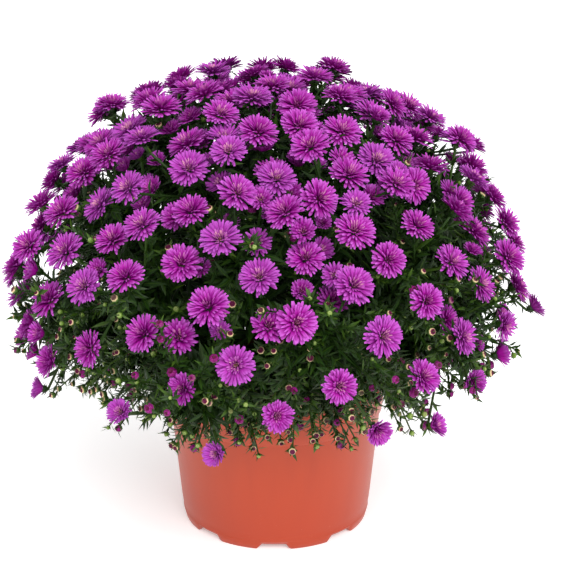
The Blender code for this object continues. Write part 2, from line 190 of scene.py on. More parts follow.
# Green cup behind a bloom: its profile as radius and height, and its rows of bracts as place out, place up,
# slope, length and count
CUP_PROFILE = (
    (0, -0.0089), (0.0016, -0.0086), (0.0033, -0.0070), (0.0043, -0.0048), (0.0036, -0.0030), (0, -0.0026))
CUP_BRACTS = ((0.0030, -0.0072, 0.15, 0.0074, 7), (0.0040, -0.0052, 0.42, 0.0068, 7))
CUP_BRACT_WIDTH = 0.0020
CUP_BRACT_ARCH = 0.25
CUP_BRACT_TURN = 0.2
CUP_BRACT_TILT = 0.12
CUP_BRACT_LENGTHS = (0.85, 1.15)
CUP_BRACT_TONES = (0.2, 1.0)

# What the leaves and buds keep out of: a bloom's head, as a cone that opens towards its face, and the pot
HEAD_TOP = 0.0082
HEAD_FLARE = 1.15
HEAD_SHARES = (0.3, 1.02)
POT_GUARD = 0.004

# Stems and stalks: points along them, and a stalk's radii at foot and neck as shares of the solids' radii
STEM_MARKS = 12
STEM_KNEE = 0.6
STEM_TONE = 0.5
STALK_MARKS = 5
STALK_BOW = 0.0008
STALK_RADII = (0.8, 0.7)

# Twigs between the stems and the dome: how many, how closely they end at each angle from the top, how far out
# they end, where on a stem they start, and how they leave it, as shares of their length
TWIG_COUNT = 790
TWIG_ANGLES = np.radians([0, 42, 62, 80, 98, 119])
TWIG_CROWDING = (1.4, 1.4, 2.0, 3.0, 3.5, 4.2)
TWIG_LOOSENESS = 0.05
TWIG_DEPTHS = (0.72, 1.0)
TWIG_REACH_ANGLES = np.radians([45, 70])
TWIG_REACHES = (1.0, 1.05)
TWIG_TRIM_ANGLES = np.radians([92, 106, 119])
TWIG_TRIMS = (1.0, 0.89, 0.80)
TWIG_ROOTS = (0.30, 0.98)
TWIG_ROOT_MARKS = 9
TWIG_LENGTHS = (0.045, 0.085)
TWIG_LIFT = 0.5
TWIG_ALONG_STEM = 0.35
TWIG_UPWARD = 0.15
TWIG_AHEAD = 0.3
TWIG_POINTS = 6
TWIG_RADIUS = 0.0007
TWIG_FOOT = 1.5

# Leaves up each kind of stalk: their outline, their places as shares of the way, their length at the foot and
# at the tip, their angle to the stalk, and their width as a share of their length
SPRIGS = {
    "stem": (LEAF, np.linspace(0.36, 0.98, 36), (0.046, 0.036), 0.95, 0.12),
    "stalk": (SMALL_LEAF, np.linspace(0.10, 0.97, 18), (0.024, 0.010), 0.80, 0.26),
    "twig": (SMALL_LEAF, 0.18 + 0.82 * np.linspace(0, 1, 36) ** 0.8, (0.021, 0.009), 0.80, 0.27),
    "twig's foot": (LEAF, np.array([0.08, 0.17, 0.26, 0.35]), (0.035, 0.029), 0.95, 0.135),
    "side shoot": (SMALL_LEAF, np.linspace(0.2, 0.92, 8), (0.012, 0.007), 0.70, 0.30),
}

# Chance in a leaf's place on its stalk, turn, tilt, length and width, its arch with the chance in it, and how
# much brighter the leaves are towards the tip
LEAF_SLIDE = 0.03
LEAF_TURN = 0.25
LEAF_TILT = 0.20
LEAF_STRETCHES = (0.75, 1.2)
LEAF_WIDTHS = (0.85, 1.2)
LEAF_ARCH = -0.45
LEAF_CURL = 0.25
LEAF_TIP_TONE = 0.4
LEAF_EVEN_AT = 0.6

# Leaves of the stems' stars, which lie where those of the solids do
STAR_RISE = 0.12
STAR_SLIM = 0.15
STAR_WIDTHS = (0.003, 0.0056)
STAR_ARCH = -0.28

# Buds, in radii of the bud: profile of radius and height, and rows of bracts as height, slope, length and
# count
BUD_PROFILE = ((0, -1.15), (0.80, -0.75), (1.0, 0.0), (0.82, 0.58), (0.46, 0.78), (0.24, 0.60), (0, 0.54))
BUD_BRACTS = ((-0.95, 0.65, 1.45, 6), (-0.70, 1.10, 1.15, 6))
BUD_BRACT_ROOT = 0.6
BUD_BRACT_WIDTH = 0.95
BUD_BRACT_ARCH = 0.3
BUD_BRACT_TURN = 0.1
BUD_BRACT_TILT = 0.2
BUD_BRACT_LENGTHS = (0.8, 1.2)
BUD_BRACT_TONES = (0.4, 1.0)

# Which twigs end in a bud: the chance at each angle from the top, and how far out they have to end. The buds
# turn out and up from the dome, and grow as they ripen.
BUD_CHANCE_ANGLES = np.radians([0, 40, 60, 80, 120])
BUD_CHANCES = (0.16, 0.60, 1.0, 1.0, 1.0)
BUD_DEPTH = 0.80
BUD_TURN = 2.0
BUD_LIFT = 0.6
BUD_RADII = (0.0021, 0.0033)
BUD_RIPENESS = (0.30, 0.36, 0.80, 0.86)
BUD_GROWTH = (0.75, 1.0, 1.0, 1.35)

# Budded side shoots near the tips of the lower twigs
SIDE_SHOOT_ANGLE = math.radians(42)
SIDE_SHOOT_SHARE = 0.75
SIDE_SHOOT_PLACES = (0.62, 0.85)
SIDE_SHOOT_LENGTHS = (0.010, 0.020)
SIDE_SHOOT_LEAN = 0.8
SIDE_SHOOT_SHAKE = 0.5
SIDE_SHOOT_ELBOW = 0.55
SIDE_SHOOT_STRAIGHT = 0.6

# How far the lowest blooms are open, and their size
LOW_ANGLES = np.radians([80, 96])
LOW_OPENED = 0.50
LOW_SIZE = 0.80

# Younger blooms in the gaps between the open ones
LATE_COUNT = 138
LATE_TRIALS = 1200
LATE_ANGLES = np.radians([0, 42, 62, 80, 96])
LATE_CROWDING = (2.4, 2.2, 0.75, 0.16, 0.06)
LATE_LOOSENESS = 0.03
LATE_DEPTHS = (0.84, 1.01)
LATE_SIZES = (0.55, 1.0)
LATE_OPENED = (0.35, 1.0)
LATE_ROOT = 0.9
HEAD_CORE = CUP_DEPTH / 3
HEAD_GAP = 0.68

# Fine mesh of the pot, and the uneven peat with its crumbs
POT_TURNS = 216
WALL_MARKS = 16
COLLAR_MARKS = (0.3, 0.7, 1.0)
RIM_SHOULDER = 0.3
SOIL_CLEAR = CONTACT_GAP * 3
SOIL_TURNS = 96
SOIL_RINGS = 30
SOIL_WAVES = 9
SOIL_WAVE_PITCH = 260
SOIL_RELIEF = 0.0035
SOIL_EDGE_POWER = 6
SOIL_EDGE_DROP = 0.001
CRUMB_PROFILE = ((0, -0.9), (0.8, -0.5), (1.0, 0.1), (0.6, 0.7), (0, 0.95))
CRUMB_SIZES = (0.0008, 0.0026)
CRUMB_LIFT = 0.35
CRUMB_GUARD = 0.004

# Seeds of the random draws of the fine pieces
LATE_SEED = 797
BLOOM_SEED = 21
TWIG_SEED = 22
SOIL_SEED = 23

# Stage
FLOOR_HALF = 6.0
SENSOR_WIDTH = 36.0
CLIPPING = (0.01, 50.0)


def unit(v):
    """Vectors scaled to length one."""
    return v / np.linalg.norm(v, axis=-1, keepdims=True)


def turned(first, second, turn):
    """The first of two directions at right angles, turned by an angle towards the second."""
    turn = np.asarray(turn)[..., None]
    return np.cos(turn) * first + np.sin(turn) * second


def full_turn(count, start=0.0):
    """Angles at even steps round a whole turn."""
    return (np.arange(count) + start) * 2 * math.pi / count


def about_z(radius, turn, height):
    """Points at some radius, turn and height about the Z axis."""
    radius, turn, height = np.broadcast_arrays(radius, turn, height)
    return np.stack([radius * np.cos(turn), radius * np.sin(turn), height], axis=-1)


def perpendicular(axis, like=None):
    """A direction across each axis: level, unless the axis, or another given for it, is nearly upright."""
    upright = np.abs((axis if like is None else like)[..., 2:]) >= NEARLY_UPRIGHT
    return unit(np.cross(np.where(upright, SIDEWAYS, UP), axis))


def crowding(directions):
    """How closely the blooms lie in each direction, as a share of that at the top."""
    polar = np.arccos(np.clip(directions[..., 2], -1, 1))
    return np.interp(polar, CROWDING_ANGLES, CROWDING)


def dome_reach(directions):
    """Distance from the dome's centre to its surface, where side over radius and height over rise, each to
    the dome's power, add up to one. Below the centre the drop stands in for the rise."""
    side = np.hypot(directions[..., 0], directions[..., 1]) / DOME_RADIUS
    depth = np.where(directions[..., 2] > 0, DOME_RISE, DOME_DROP)
    height = np.abs(directions[..., 2]) / depth
    return (side ** DOME_POWER + height ** DOME_POWER) ** (-1 / DOME_POWER)


def spiral(count, at=CROWDING_ANGLES, crowd=CROWDING):
    """Directions on a golden-angle spiral down to the last of some angles, as close as the crowding asks."""
    angles = np.linspace(0, at[-1], SPIRAL_STEPS)
    filled = np.cumsum(np.interp(angles, at, crowd) * np.sin(angles))
    polar = np.interp((np.arange(count) + 0.5) / count, filled / filled[-1], angles)
    turn = np.arange(count) * GOLDEN_TURN
    return about_z(np.sin(polar), turn, np.cos(polar))


def bloom_layout(rng):
    """Places and facings of the blooms: the spiral, shaken and then pushed apart."""
    stagger = rng.uniform(-BLOOM_STAGGER, BLOOM_STAGGER, BLOOM_COUNT)
    directions = unit(spiral(BLOOM_COUNT) + rng.normal(0, BLOOM_LOOSENESS, (BLOOM_COUNT, 3)))
    stagger[np.argmax(directions @ STRAY_DIRECTION)] = STRAY_REACH
    for _ in range(PUSH_ROUNDS):
        points = directions * (dome_reach(directions) + stagger)[:, None]
        apart = points[:, None] - points[None]
        distance = np.linalg.norm(apart, axis=2)
        np.fill_diagonal(distance, 1)
        tightness = np.sqrt(crowding(directions))
        wanted = BLOOM_SPACING * 2 / (tightness[:, None] + tightness[None])
        push = np.clip(wanted / distance - 1, 0, 1)
        np.fill_diagonal(push, 0)
        points = points + PUSH * (apart * push[..., None]).sum(axis=1)
        directions = unit(points)
    points = DOME_CENTRE + directions * (dome_reach(directions) + stagger)[:, None]
    facing = unit(directions + np.array([0, 0, BLOOM_LIFT]) + rng.normal(0, BLOOM_TILT, directions.shape))
    return points, directions, facing


def section(centre, axis, across, reach):
    """Points round an axis, each at its own reach."""
    across = unit(across - axis * np.dot(across, axis))
    return centre + turned(across, np.cross(axis, across), full_turn(len(reach))) * reach[:, None]


def wall_radius(z):
    """Outer radius of the pot's wall: foot + slope * z, with a quadratic bend in over the lowest part."""
    bend = np.maximum(0.0, 1 - z / FOOT_BEND_Z)
    return FOOT_RADIUS + WALL_SLOPE * z + FOOT_BEND * (1 - bend ** 2)


class Room:
    """The space already taken, as balls along each piece, with the node that each belongs to."""

    def __init__(self):
        self.points = np.zeros((0, 3))
        self.radii = np.zeros(0)
        self.owners = np.zeros(0, int)

    @staticmethod
    def balls(line, radii):
        """Balls every few millimetres along a broken line."""
        line = np.asarray(line)
        steps = np.concatenate([[0], np.cumsum(np.linalg.norm(np.diff(line, axis=0), axis=1))])
        marks = np.linspace(0, steps[-1], max(2, int(steps[-1] / BALL_STEP)))
        points = np.stack([np.interp(marks, steps, line[:, k]) for k in range(3)], axis=1)
        return points, np.interp(marks, steps, radii)

    def take(self, owner, line, radii):
        """Marks a piece's room as taken."""
        points, sizes = self.balls(line, radii)
        self.points = np.concatenate([self.points, points])
        self.radii = np.concatenate([self.radii, sizes])
        self.owners = np.concatenate([self.owners, np.full(len(points), owner)])

    def clear(self, owner, line, radii):
        """Whether a piece keeps clear of every other node."""
        points, sizes = self.balls(line, radii)
        others = self.owners != owner
        distance = np.linalg.norm(points[:, None] - self.points[others][None], axis=2)
        return bool((distance - sizes[:, None] - self.radii[others][None]).min() > KEEP_CLEAR)


def stem_path(direction):
    """Start, rise and fork of a stem: it leaves the soil upright and bends over to its fork."""
    flat = direction[:2] / max(np.linalg.norm(direction[:2]), 1e-9)
    lean = min(math.acos(direction[2]), math.pi / 2)
    start = np.append(flat * STEM_FOOT_RING * math.sin(lean), SOIL_TOP + STEM_CLEAR)
    rise = start + np.array([0, 0, STEM_RISE])
    fork = DOME_CENTRE + direction * dome_reach(direction) * FORK_REACH
    return start, rise, fork


def along(path, t):
    """Point and direction at a share of the way along a stem, a quadratic Bezier curve."""
    start, rise, fork = path
    point = (1 - t) ** 2 * start + 2 * t * (1 - t) * rise + t ** 2 * fork
    return point, unit(2 * (1 - t) * (rise - start) + 2 * t * (fork - rise))


def plan_spray(rng, room, k, path, members, layout):
    """Blooms of one spray, each with its root on the main stalk, its middle, facing, size and turn."""
    points, facing = layout
    fork, aim = along(path, 1.0)
    base = fork + aim * CONTACT_GAP
    blooms = []
    main = None
    for order, m in enumerate(members):
        size = rng.uniform(*BLOOM_SIZES)
        neck = points[m] - facing[m] * CUP_DEPTH * size
        if main is None:
            main = neck
            root, radius = base, STALK_RADIUS
        else:
            share = BRANCH_HIGHEST - (BRANCH_HIGHEST - BRANCH_LOWEST) * order / len(members)
            root, radius = base + (main - base) * share, BRANCH_RADIUS
        turn = math.radians(int(rng.integers(360)))
        blooms.append({"root": root, "radius": radius, "neck": neck, "middle": points[m], "facing": facing[m],
                       "size": size, "turn": turn, "opened": 1.0, "late": False})
        room.take(SPRAY_COUNT + k, [root, neck], [radius, NECK_RADIUS])
        room.take(SPRAY_COUNT + k, [neck, points[m]], [NECK_RADIUS * NECK_GUARD, BLOOM_RADIUS * size])
    return blooms


def plan_shoots(rng, room, k, path):
    """Root and tip of each budded shoot that reaches up between the blooms."""
    shoots = []
    low = math.acos(unit(path[2] - DOME_CENTRE)[2]) > LOW_STEM_ANGLE
    wanted = BUDS_LOW if low else BUDS_HIGH
    for trial in range(wanted * SHOOT_TRIALS):
        root, axis = along(path, rng.uniform(*SHOOT_ROOTS))
        across = perpendicular(axis)
        turn = trial * GOLDEN_TURN + rng.uniform(-SHOOT_SHAKE, SHOOT_SHAKE)
        side = math.cos(turn) * across + math.sin(turn) * np.cross(axis, across)
        tip = root + unit(axis + side * rng.uniform(*SHOOT_SPREADS)) * rng.uniform(*SHOOT_LENGTHS)
        radii = [SHOOT_RADIUS, BUD_RADIUS]
        if len(shoots) < wanted and room.clear(k, [root, tip], radii):
            shoots.append((root, tip))
            room.take(k, [root, tip], radii)
    return shoots


def star_of_leaves(rng, room, k, centre, axis, across):
    """Tips of one star of leaves, every leaf as long as it has room."""
    spokes = section(np.zeros(3), axis, across, np.ones(2 * STEM_SIDES))
    tips = []
    for n in range(1, 2 * STEM_SIDES, 2):
        slope = rng.uniform(*LEAF_RISES)
        full = rng.uniform(*LEAF_LENGTHS)
        for trim in LEAF_TRIMS:
            tip = centre + spokes[n] * full * trim + axis * full * trim * slope
            if room.clear(k, [centre, tip], [SHAFT_RADIUS, SHOOT_RADIUS]):
                break
        room.take(k, [centre, tip], [SHAFT_RADIUS, SHOOT_RADIUS])
        tips.append(tip)
    return tips


def plan_leaves(rng, room, k, path):
    """Root, tip and stem direction of every leaf of one stem's stars."""
    start, rise, fork = path
    flat = unit(np.cross(UP, fork - start))
    length = np.linalg.norm(rise - start) + np.linalg.norm(fork - rise)
    levels = int(length * (1 - FIRST_LEVEL) / LEVEL_SPACING)
    leaves = []
    for level, t in enumerate(np.linspace(FIRST_LEVEL, LAST_LEVEL, levels)):
        centre, axis = along(path, t)
        across = section(np.zeros(3), axis, flat, np.ones(2 * STEM_SIDES))[level % 2]
        leaves += [(centre, tip, axis) for tip in star_of_leaves(rng, room, k, centre, axis, across)]
    return leaves


def plan():
    """The bush: for each stem its path, blooms, shoots and leaves, drawn in the same order as in the
    solids."""
    rng = np.random.default_rng(SEED)
    points, directions, facing = bloom_layout(rng)
    sprays = spiral(SPRAY_COUNT)
    home = np.argmax(directions @ sprays.T, axis=1)
    room = Room()
    for z in np.linspace(RIM_GUARD_LOW, POT_HEIGHT, RIM_GUARD_RINGS):
        reach = np.full(RIM_GUARD_POINTS, wall_radius(z) + COLLAR_STEP)
        ring = section(UP * z, UP, SIDEWAYS, reach)
        room.take(-1, ring, np.full(RIM_GUARD_POINTS, RIM_GUARD))
    bush = [{"path": stem_path(direction)} for direction in sprays]
    for k, stem in enumerate(bush):
        members = np.flatnonzero(home == k)
        members = members[np.argsort(-(directions[members] @ sprays[k]))]
        stem["blooms"] = plan_spray(rng, room, k, stem["path"], members, (points, facing))
        line = [along(stem["path"], t)[0] for t in np.linspace(0, 1, PATH_MARKS)]
        room.take(k, line, np.full(PATH_MARKS, SHAFT_RADIUS))
    for k, stem in enumerate(bush):
        stem["shoots"] = plan_shoots(rng, room, k, stem["path"])
    for k, stem in enumerate(bush):
        stem["leaves"] = plan_leaves(rng, room, k, stem["path"])
    return bush


def stacked(records, key):
    """One field of some records as an array."""
    return np.array([record[key] for record in records])


def add_late_blooms(bush, rng):
    """Adds younger, part-open blooms on a spiral just under the dome, where they clear all the others."""
    sprays = spiral(SPRAY_COUNT)
    blooms = [bloom for stem in bush for bloom in stem["blooms"]]
    cores = stacked(blooms, "middle") - stacked(blooms, "facing") * HEAD_CORE
    radii = stacked(blooms, "size") * BLOOM_RADIUS
    directions = spiral(LATE_TRIALS, LATE_ANGLES, LATE_CROWDING)
    directions = unit(directions + rng.normal(0, LATE_LOOSENESS, directions.shape))
    for direction in directions[rng.permutation(LATE_TRIALS)]:
        if len(cores) == len(blooms) + LATE_COUNT:
            break
        size, opened = rng.uniform(*LATE_SIZES), rng.uniform(*LATE_OPENED)
        middle = DOME_CENTRE + direction * dome_reach(direction) * rng.uniform(*LATE_DEPTHS)
        facing = unit(direction + BLOOM_LIFT * UP + rng.normal(0, BLOOM_TILT, 3))
        core, radius = middle - facing * HEAD_CORE, size * BLOOM_RADIUS
        if (np.linalg.norm(cores - core, axis=1) < HEAD_GAP * (radii + radius)).any():
            continue
        cores, radii = np.concatenate([cores, core[None]]), np.append(radii, radius)
        stem = bush[int(np.argmax(sprays @ direction))]
        stem["blooms"].append({
            "root": along(stem["path"], LATE_ROOT)[0], "radius": BRANCH_RADIUS, "middle": middle,
            "facing": facing, "size": size, "turn": 0.0, "opened": opened, "late": True})


def close_low_blooms(bush):
    """Lets the lowest blooms be smaller and half open."""
    for stem in bush:
        for bloom in stem["blooms"]:
            polar = math.acos(unit(bloom["middle"] - DOME_CENTRE)[2])
            share = float(np.interp(polar, LOW_ANGLES, (0, 1)))
            bloom["opened"] *= 1 - share * (1 - LOW_OPENED)
            bloom["size"] *= 1 - share * (1 - LOW_SIZE)
            bloom["neck"] = bloom["middle"] - bloom["facing"] * CUP_DEPTH * bloom["size"]


BUSH = plan()
add_late_blooms(BUSH, np.random.default_rng(LATE_SEED))
close_low_blooms(BUSH)


def placed(name, data):
    """A new object in the scene."""
    item = bpy.data.objects.new(name, data)
    bpy.context.scene.collection.objects.link(item)
    return item


class Surface:
    """Points, faces and per-point numbers of a piece, gathered from batches of like shapes."""

    def __init__(self, *fields):
        self.points, self.faces = [], []
        self.values = {field: [] for field in fields}
        self.size = 0

    def add(self, points, faces, **values):
        """Adds copies of a shape: points (copies, n, 3), the faces of one copy as index arrays of one width
        each, and for each field one number, one for each copy, or (1, n) for the points of every copy."""
        copies, each = points.shape[:2]
        starts = self.size + each * np.arange(copies)[:, None, None]
        self.points.append(points.reshape(-1, 3))
        self.faces += [(starts + group).reshape(-1, group.shape[1]) for group in faces if len(group)]
        for field, parts in self.values.items():
            value = np.asarray(values.get(field, 0.0))
            value = value[:, None] if value.ndim == 1 else value
            parts.append(np.broadcast_to(value, (copies, each)).ravel())
        self.size += copies * each

    def mesh(self, name, sharp_from=math.radians(48)):
        """The mesh of all batches, smooth but for its sharp folds."""
        points = np.concatenate(self.points).astype(np.float32)
        mesh = bpy.data.meshes.new(name)
        mesh.vertices.add(len(points))
        mesh.vertices.foreach_set("co", points.ravel())
        widths = np.concatenate([np.full(len(group), group.shape[1]) for group in self.faces])
        corners = np.concatenate([group.ravel() for group in self.faces])
        mesh.loops.add(len(corners))
        mesh.loops.foreach_set("vertex_index", corners.astype(np.int32))
        mesh.polygons.add(len(widths))
        mesh.polygons.foreach_set("loop_start", (np.cumsum(widths) - widths).astype(np.int32))
        mesh.update(calc_edges=True)
        mesh.shade_smooth()
        mesh.set_sharp_from_angle(angle=sharp_from)
        for field, parts in self.values.items():
            column = np.concatenate(parts).astype(np.float32)
            mesh.attributes.new(field, "FLOAT", "POINT").data.foreach_set("value", column)
        return mesh

    def piece(self, name, finish, slot, *nodes):
        """The piece of all batches: it rides on the plant's one body and stands for some solids."""
        item = placed(name, self.mesh(name))
        item.data.materials.append(finish)
        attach(item, "root")
        if nodes:
            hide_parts(*nodes)
        return item


def side_faces(number):
    """Faces between the rows of a grid of point numbers, each row closed round."""
    after = np.roll(number, -1, axis=1)
    return np.stack([number[:-1], after[:-1], after[1:], number[1:]], axis=2).reshape(-1, 4)


def closed_faces(number):
    """Faces of such a grid with a pole at each end, the low and then the high one, numbered after it."""
    low, high = number[0], number[-1]
    return (
        side_faces(number),
        np.stack([np.full_like(low, number.size), np.roll(low, -1), low], axis=1),
        np.stack([np.full_like(high, number.size + 1), high, np.roll(high, -1)], axis=1),
    )


def blade_faces(wide):
    """Faces of one blade, and which of its points are used: three at a station, or one at a pointed end."""
    broad = wide > 0
    used = broad[:, None] | (np.arange(3) == 0)
    number = np.cumsum(used).reshape(-1, 3) - 1
    side = side_faces(number)
    if not broad[0]:
        root, side = side[:3, [0, 2, 3]], side[3:]
    else:
        root = number[:1, ::-1]
    if not broad[-1]:
        tip, side = side[-3:, :3], side[:-3]
    else:
        tip = number[-1:]
    return used, (side, root, tip)


def add_blades(surface, shape, root, heading, upward, length, width, arch, **values):
    """Adds thin closed blades. Along a blade the heading turns by arch towards the upper side, as the share
    of its length to the power of the bend. Across it has two edges, and a middle that stands over them by the
    crown."""
    at, wide, crown = (np.array(shape[key]) for key in ("at", "wide", "crown"))
    length, width, arch = (np.broadcast_to(v, len(root))[:, None] for v in (length, width, arch))
    heading = unit(heading)
    aside = unit(np.cross(heading, upward))
    upward = np.cross(aside, heading)
    heading, upward, aside = heading[:, None], upward[:, None], aside[:, None]
    angle = arch * at ** BLADE_BEND
    steps = turned(heading, upward, (angle[:, 1:] + angle[:, :-1]) / 2) * (length * np.diff(at))[..., None]
    spine = root[:, None] + np.pad(np.cumsum(steps, axis=1), ((0, 0), (1, 0), (0, 0)))
    half = (width / 2 * wide)[..., None]
    lag = (length * np.where(at == 1, shape["lag"], 0))[..., None] * turned(heading, upward, angle)
    ridge = spine - lag + half * crown[:, None] * turned(upward, -heading, angle)
    used, faces = blade_faces(wide)
    surface.add(
        np.stack([spine + half * aside, spine - half * aside, ridge], axis=2)[:, used], faces,
        along=np.repeat(at, 3)[used.ravel()][None],
        across=((wide > 0)[:, None] * np.array([-1, 1, 0]))[used][None], **values)


def add_tubes(surface, lines, radii, sides, **values):
    """Adds closed round stalks along lines (n, m, 3), with a radius at each point."""
    count, stations = lines.shape[:2]
    onward = unit(np.gradient(lines, axis=1))
    across = perpendicular(onward, onward[:, :1])
    ring = turned(across[:, :, None], np.cross(onward, across)[:, :, None], full_turn(sides))
    points = lines[:, :, None] + ring * np.broadcast_to(radii, (count, stations))[..., None, None]
    number = np.arange(stations * sides).reshape(stations, sides)
    surface.add(
        points.reshape(count, stations * sides, 3), (side_faces(number), number[:1, ::-1], number[-1:]),
        along=np.repeat(np.linspace(0, 1, stations), sides)[None], **values)


def add_domes(surface, centre, axis, across, profile, sides, size, **values):
    """Adds closed turned shapes, all alike: a profile of radius and height carried round each axis."""
    out, up = np.array(profile).T[..., None, None]
    stations = len(out) - 2
    ring = turned(across[:, None, None], np.cross(axis, across)[:, None, None], full_turn(sides))
    skin = ring * out[1:-1] + axis[:, None, None] * up[1:-1]
    poles = axis[:, None] * up[[0, -1], 0]
    points = np.concatenate([skin.reshape(len(centre), stations * sides, 3), poles], axis=1)
    along = np.concatenate([np.repeat(np.arange(1, stations + 1) / (stations + 1), sides), [0, 1]])
    surface.add(
        centre[:, None] + size[:, None, None] * points,
        closed_faces(np.arange(stations * sides).reshape(stations, sides)), along=along[None], **values)


def add_turned(surface, turn, radius, height):
    """Adds a closed body turned about Z, with radius and height from pole to pole, the same or for each
    turn."""
    points = about_z(radius, turn[:, None], height)
    number = np.arange(points[:, 1:-1, 0].size).reshape(len(turn), -1).T
    points = np.concatenate([points[:, 1:-1].reshape(-1, 3), points[0, [0, -1]]])
    surface.add(points[None], closed_faces(number))


def add_whorl(
        surface, shape, middle, size, frames, turn, place, tilt, length, width, arch, roll=0.0, **values):
    """Adds a ring of blades about each of some axes: at turns (n, m), from a place out and up in sizes,
    tilted up out of the ring's plane."""
    axis, first, second = (part[:, None] for part in frames)
    out = turned(first, second, turn)
    root = middle[:, None] + size[:, None, None] * (place[0] * out + place[1] * axis)
    spread = {key: np.broadcast_to(value, turn.shape).ravel() for key, value in values.items()}
    flat = (part.reshape(-1, 3) for part in (root, turned(out, axis, tilt), turned(axis, -out, tilt) + roll))
    each = (np.broadcast_to(part, turn.shape).ravel() for part in (length, width, arch))
    add_blades(surface, shape, *flat, *each, **spread)


def bloom_frames(blooms):
    """Facing, first and second direction across each bloom."""
    facing = stacked(blooms, "facing")
    across = perpendicular(unit(stacked(blooms, "neck") - stacked(blooms, "root")))
    across = unit(across - facing * (across * facing).sum(axis=1, keepdims=True))
    first = turned(across, np.cross(facing, across), stacked(blooms, "turn"))
    return facing, first, np.cross(facing, first)


def add_florets(surface, rng, blooms, late):
    """Adds the florets of some blooms, layer by layer: each layer is a ring of blades that starts on the
    receptacle and ends on the bloom's shallow dome, with a little chance in its turn, tilt and length. Ripe
    blooms have shorter inner florets, and in half-open ones the florets stand up. Late blooms have fewer and
    plainer florets."""
    frames = bloom_frames(blooms)
    middle, size, opened = (stacked(blooms, key) for key in ("middle", "size", "opened"))
    size, opened = size * MILLIMETRE, opened[:, None]
    ripe = rng.uniform(0, 1, (len(blooms), 1))
    for layer, (count, root_out, root_up, tip_out, tip_up, width, arch) in enumerate(LAYERS):
        heart = layer >= OUTER_LAYERS
        count = round(count * LATE_FLORETS) if late else count
        shape = (len(blooms), count)
        turn = full_turn(count, layer % 2 / 2) + rng.normal(0, FLORET_TURN, shape)
        turn += rng.uniform(0, 1, ripe.shape)
        out, up = tip_out - root_out, tip_up - root_up
        tilt = math.atan2(up, out) + rng.normal(0, FLORET_TILTS[heart], shape) - FLORET_LEAD * arch
        tilt += (1 - opened) * (CLOSED_SLOPE - tilt)
        length = math.hypot(out, up) * rng.uniform(*FLORET_LENGTHS, shape) * (1 - heart * HEART_SHRINK * ripe)
        add_whorl(
            surface, FLORET if layer < FINE_LAYERS and not late else SMALL_FLORET, middle, size, frames, turn,
            (root_out, root_up), tilt, length * size[:, None], roll=rng.normal(0, FLORET_ROLL, (*shape, 3)),
            width=width * (LATE_WIDTH if late else 1) * size[:, None] * rng.uniform(*FLORET_WIDTHS, shape),
            arch=opened * arch + rng.normal(0, FLORET_CURL, shape), tone=rng.uniform(0, 1, shape),
            ring=layer / (len(LAYERS) - 1), ripe=ripe)
    return ripe[:, 0]


def add_calyxes(surface, rng, blooms):
    """Adds the green cup behind each bloom, with two rows of narrow bracts on it."""
    frames = bloom_frames(blooms)
    middle, size = stacked(blooms, "middle"), stacked(blooms, "size")
    tone = rng.uniform(0, 1, len(blooms))
    add_domes(surface, middle, *frames[:2], CUP_PROFILE, SIDES["cup"], size, tone=tone, stem=WOODY["cup"])
    for out, up, slope, length, count in CUP_BRACTS:
        shape = (len(blooms), count)
        turn = full_turn(count) + rng.uniform(-CUP_BRACT_TURN, CUP_BRACT_TURN, shape)
        tilt = slope + rng.normal(0, CUP_BRACT_TILT, shape)
        add_whorl(
            surface, BRACT, middle, size, frames, turn, (out, up), tilt,
            length=length * size[:, None] * rng.uniform(*CUP_BRACT_LENGTHS, shape), width=CUP_BRACT_WIDTH,
            arch=CUP_BRACT_ARCH, tone=rng.uniform(*CUP_BRACT_TONES, shape), stem=WOODY["bract"])


def add_buds(surface, leaves, rng, tips, axes, sizes, ripe):
    """Adds round buds with their heads at some tips, and to the leaves a ruff of bracts behind each."""
    first = perpendicular(axes)
    frames = axes, first, np.cross(axes, first)
    tone = rng.uniform(0, 1, len(tips))
    add_domes(surface, tips, axes, first, BUD_PROFILE, SIDES["bud"], sizes, ripe=ripe, tone=tone)
    for height, slope, length, count in BUD_BRACTS:
        shape = (len(tips), count)
        turn = full_turn(count) + rng.uniform(0, 1, (len(tips), 1)) + rng.normal(0, BUD_BRACT_TURN, shape)
        tilt = slope + rng.normal(0, BUD_BRACT_TILT, shape)
        add_whorl(
            leaves, BRACT, tips, sizes, frames, turn, (BUD_BRACT_ROOT, height), tilt,
            length=length * sizes[:, None] * rng.uniform(*BUD_BRACT_LENGTHS, shape),
            width=sizes[:, None] * BUD_BRACT_WIDTH, arch=BUD_BRACT_ARCH,
            tone=rng.uniform(*BUD_BRACT_TONES, shape), stem=WOODY["leaf"])


def on_lines(lines, share):
    """Places and directions at shares (n, s) along lines (n, m, 3) of evenly spaced points."""
    spans = lines.shape[1] - 1
    place = np.clip(share * spans, 0, spans - 1e-6)
    low = place.astype(int)
    rows = np.arange(len(lines))[:, None]
    before, after = lines[rows, low], lines[rows, low + 1]
    return before + (after - before) * (place - low)[..., None], unit(after - before)


def clear_of_blooms(points, blooms):
    """Which points lie outside every bloom's head, a flat cone behind its face."""
    free = np.ones(len(points), bool)
    for bloom in blooms:
        apart = points - bloom["middle"]
        height = apart @ bloom["facing"]
        out = np.linalg.norm(apart - height[:, None] * bloom["facing"], axis=1)
        depth = CUP_DEPTH * bloom["size"]
        reach = BLOOM_RADIUS * bloom["size"] * np.clip(HEAD_FLARE + height / depth, *HEAD_SHARES)
        free &= (height >= HEAD_TOP * bloom["size"]) | (height <= -depth) | (out >= reach)
    return free


def clear_of_pot(points):
    """Which points lie outside the pot, or well above its rim."""
    out = np.hypot(points[:, 0], points[:, 1])
    return (points[:, 2] > POT_HEIGHT + POT_GUARD) | (out > RIM_RADIUS + POT_GUARD)


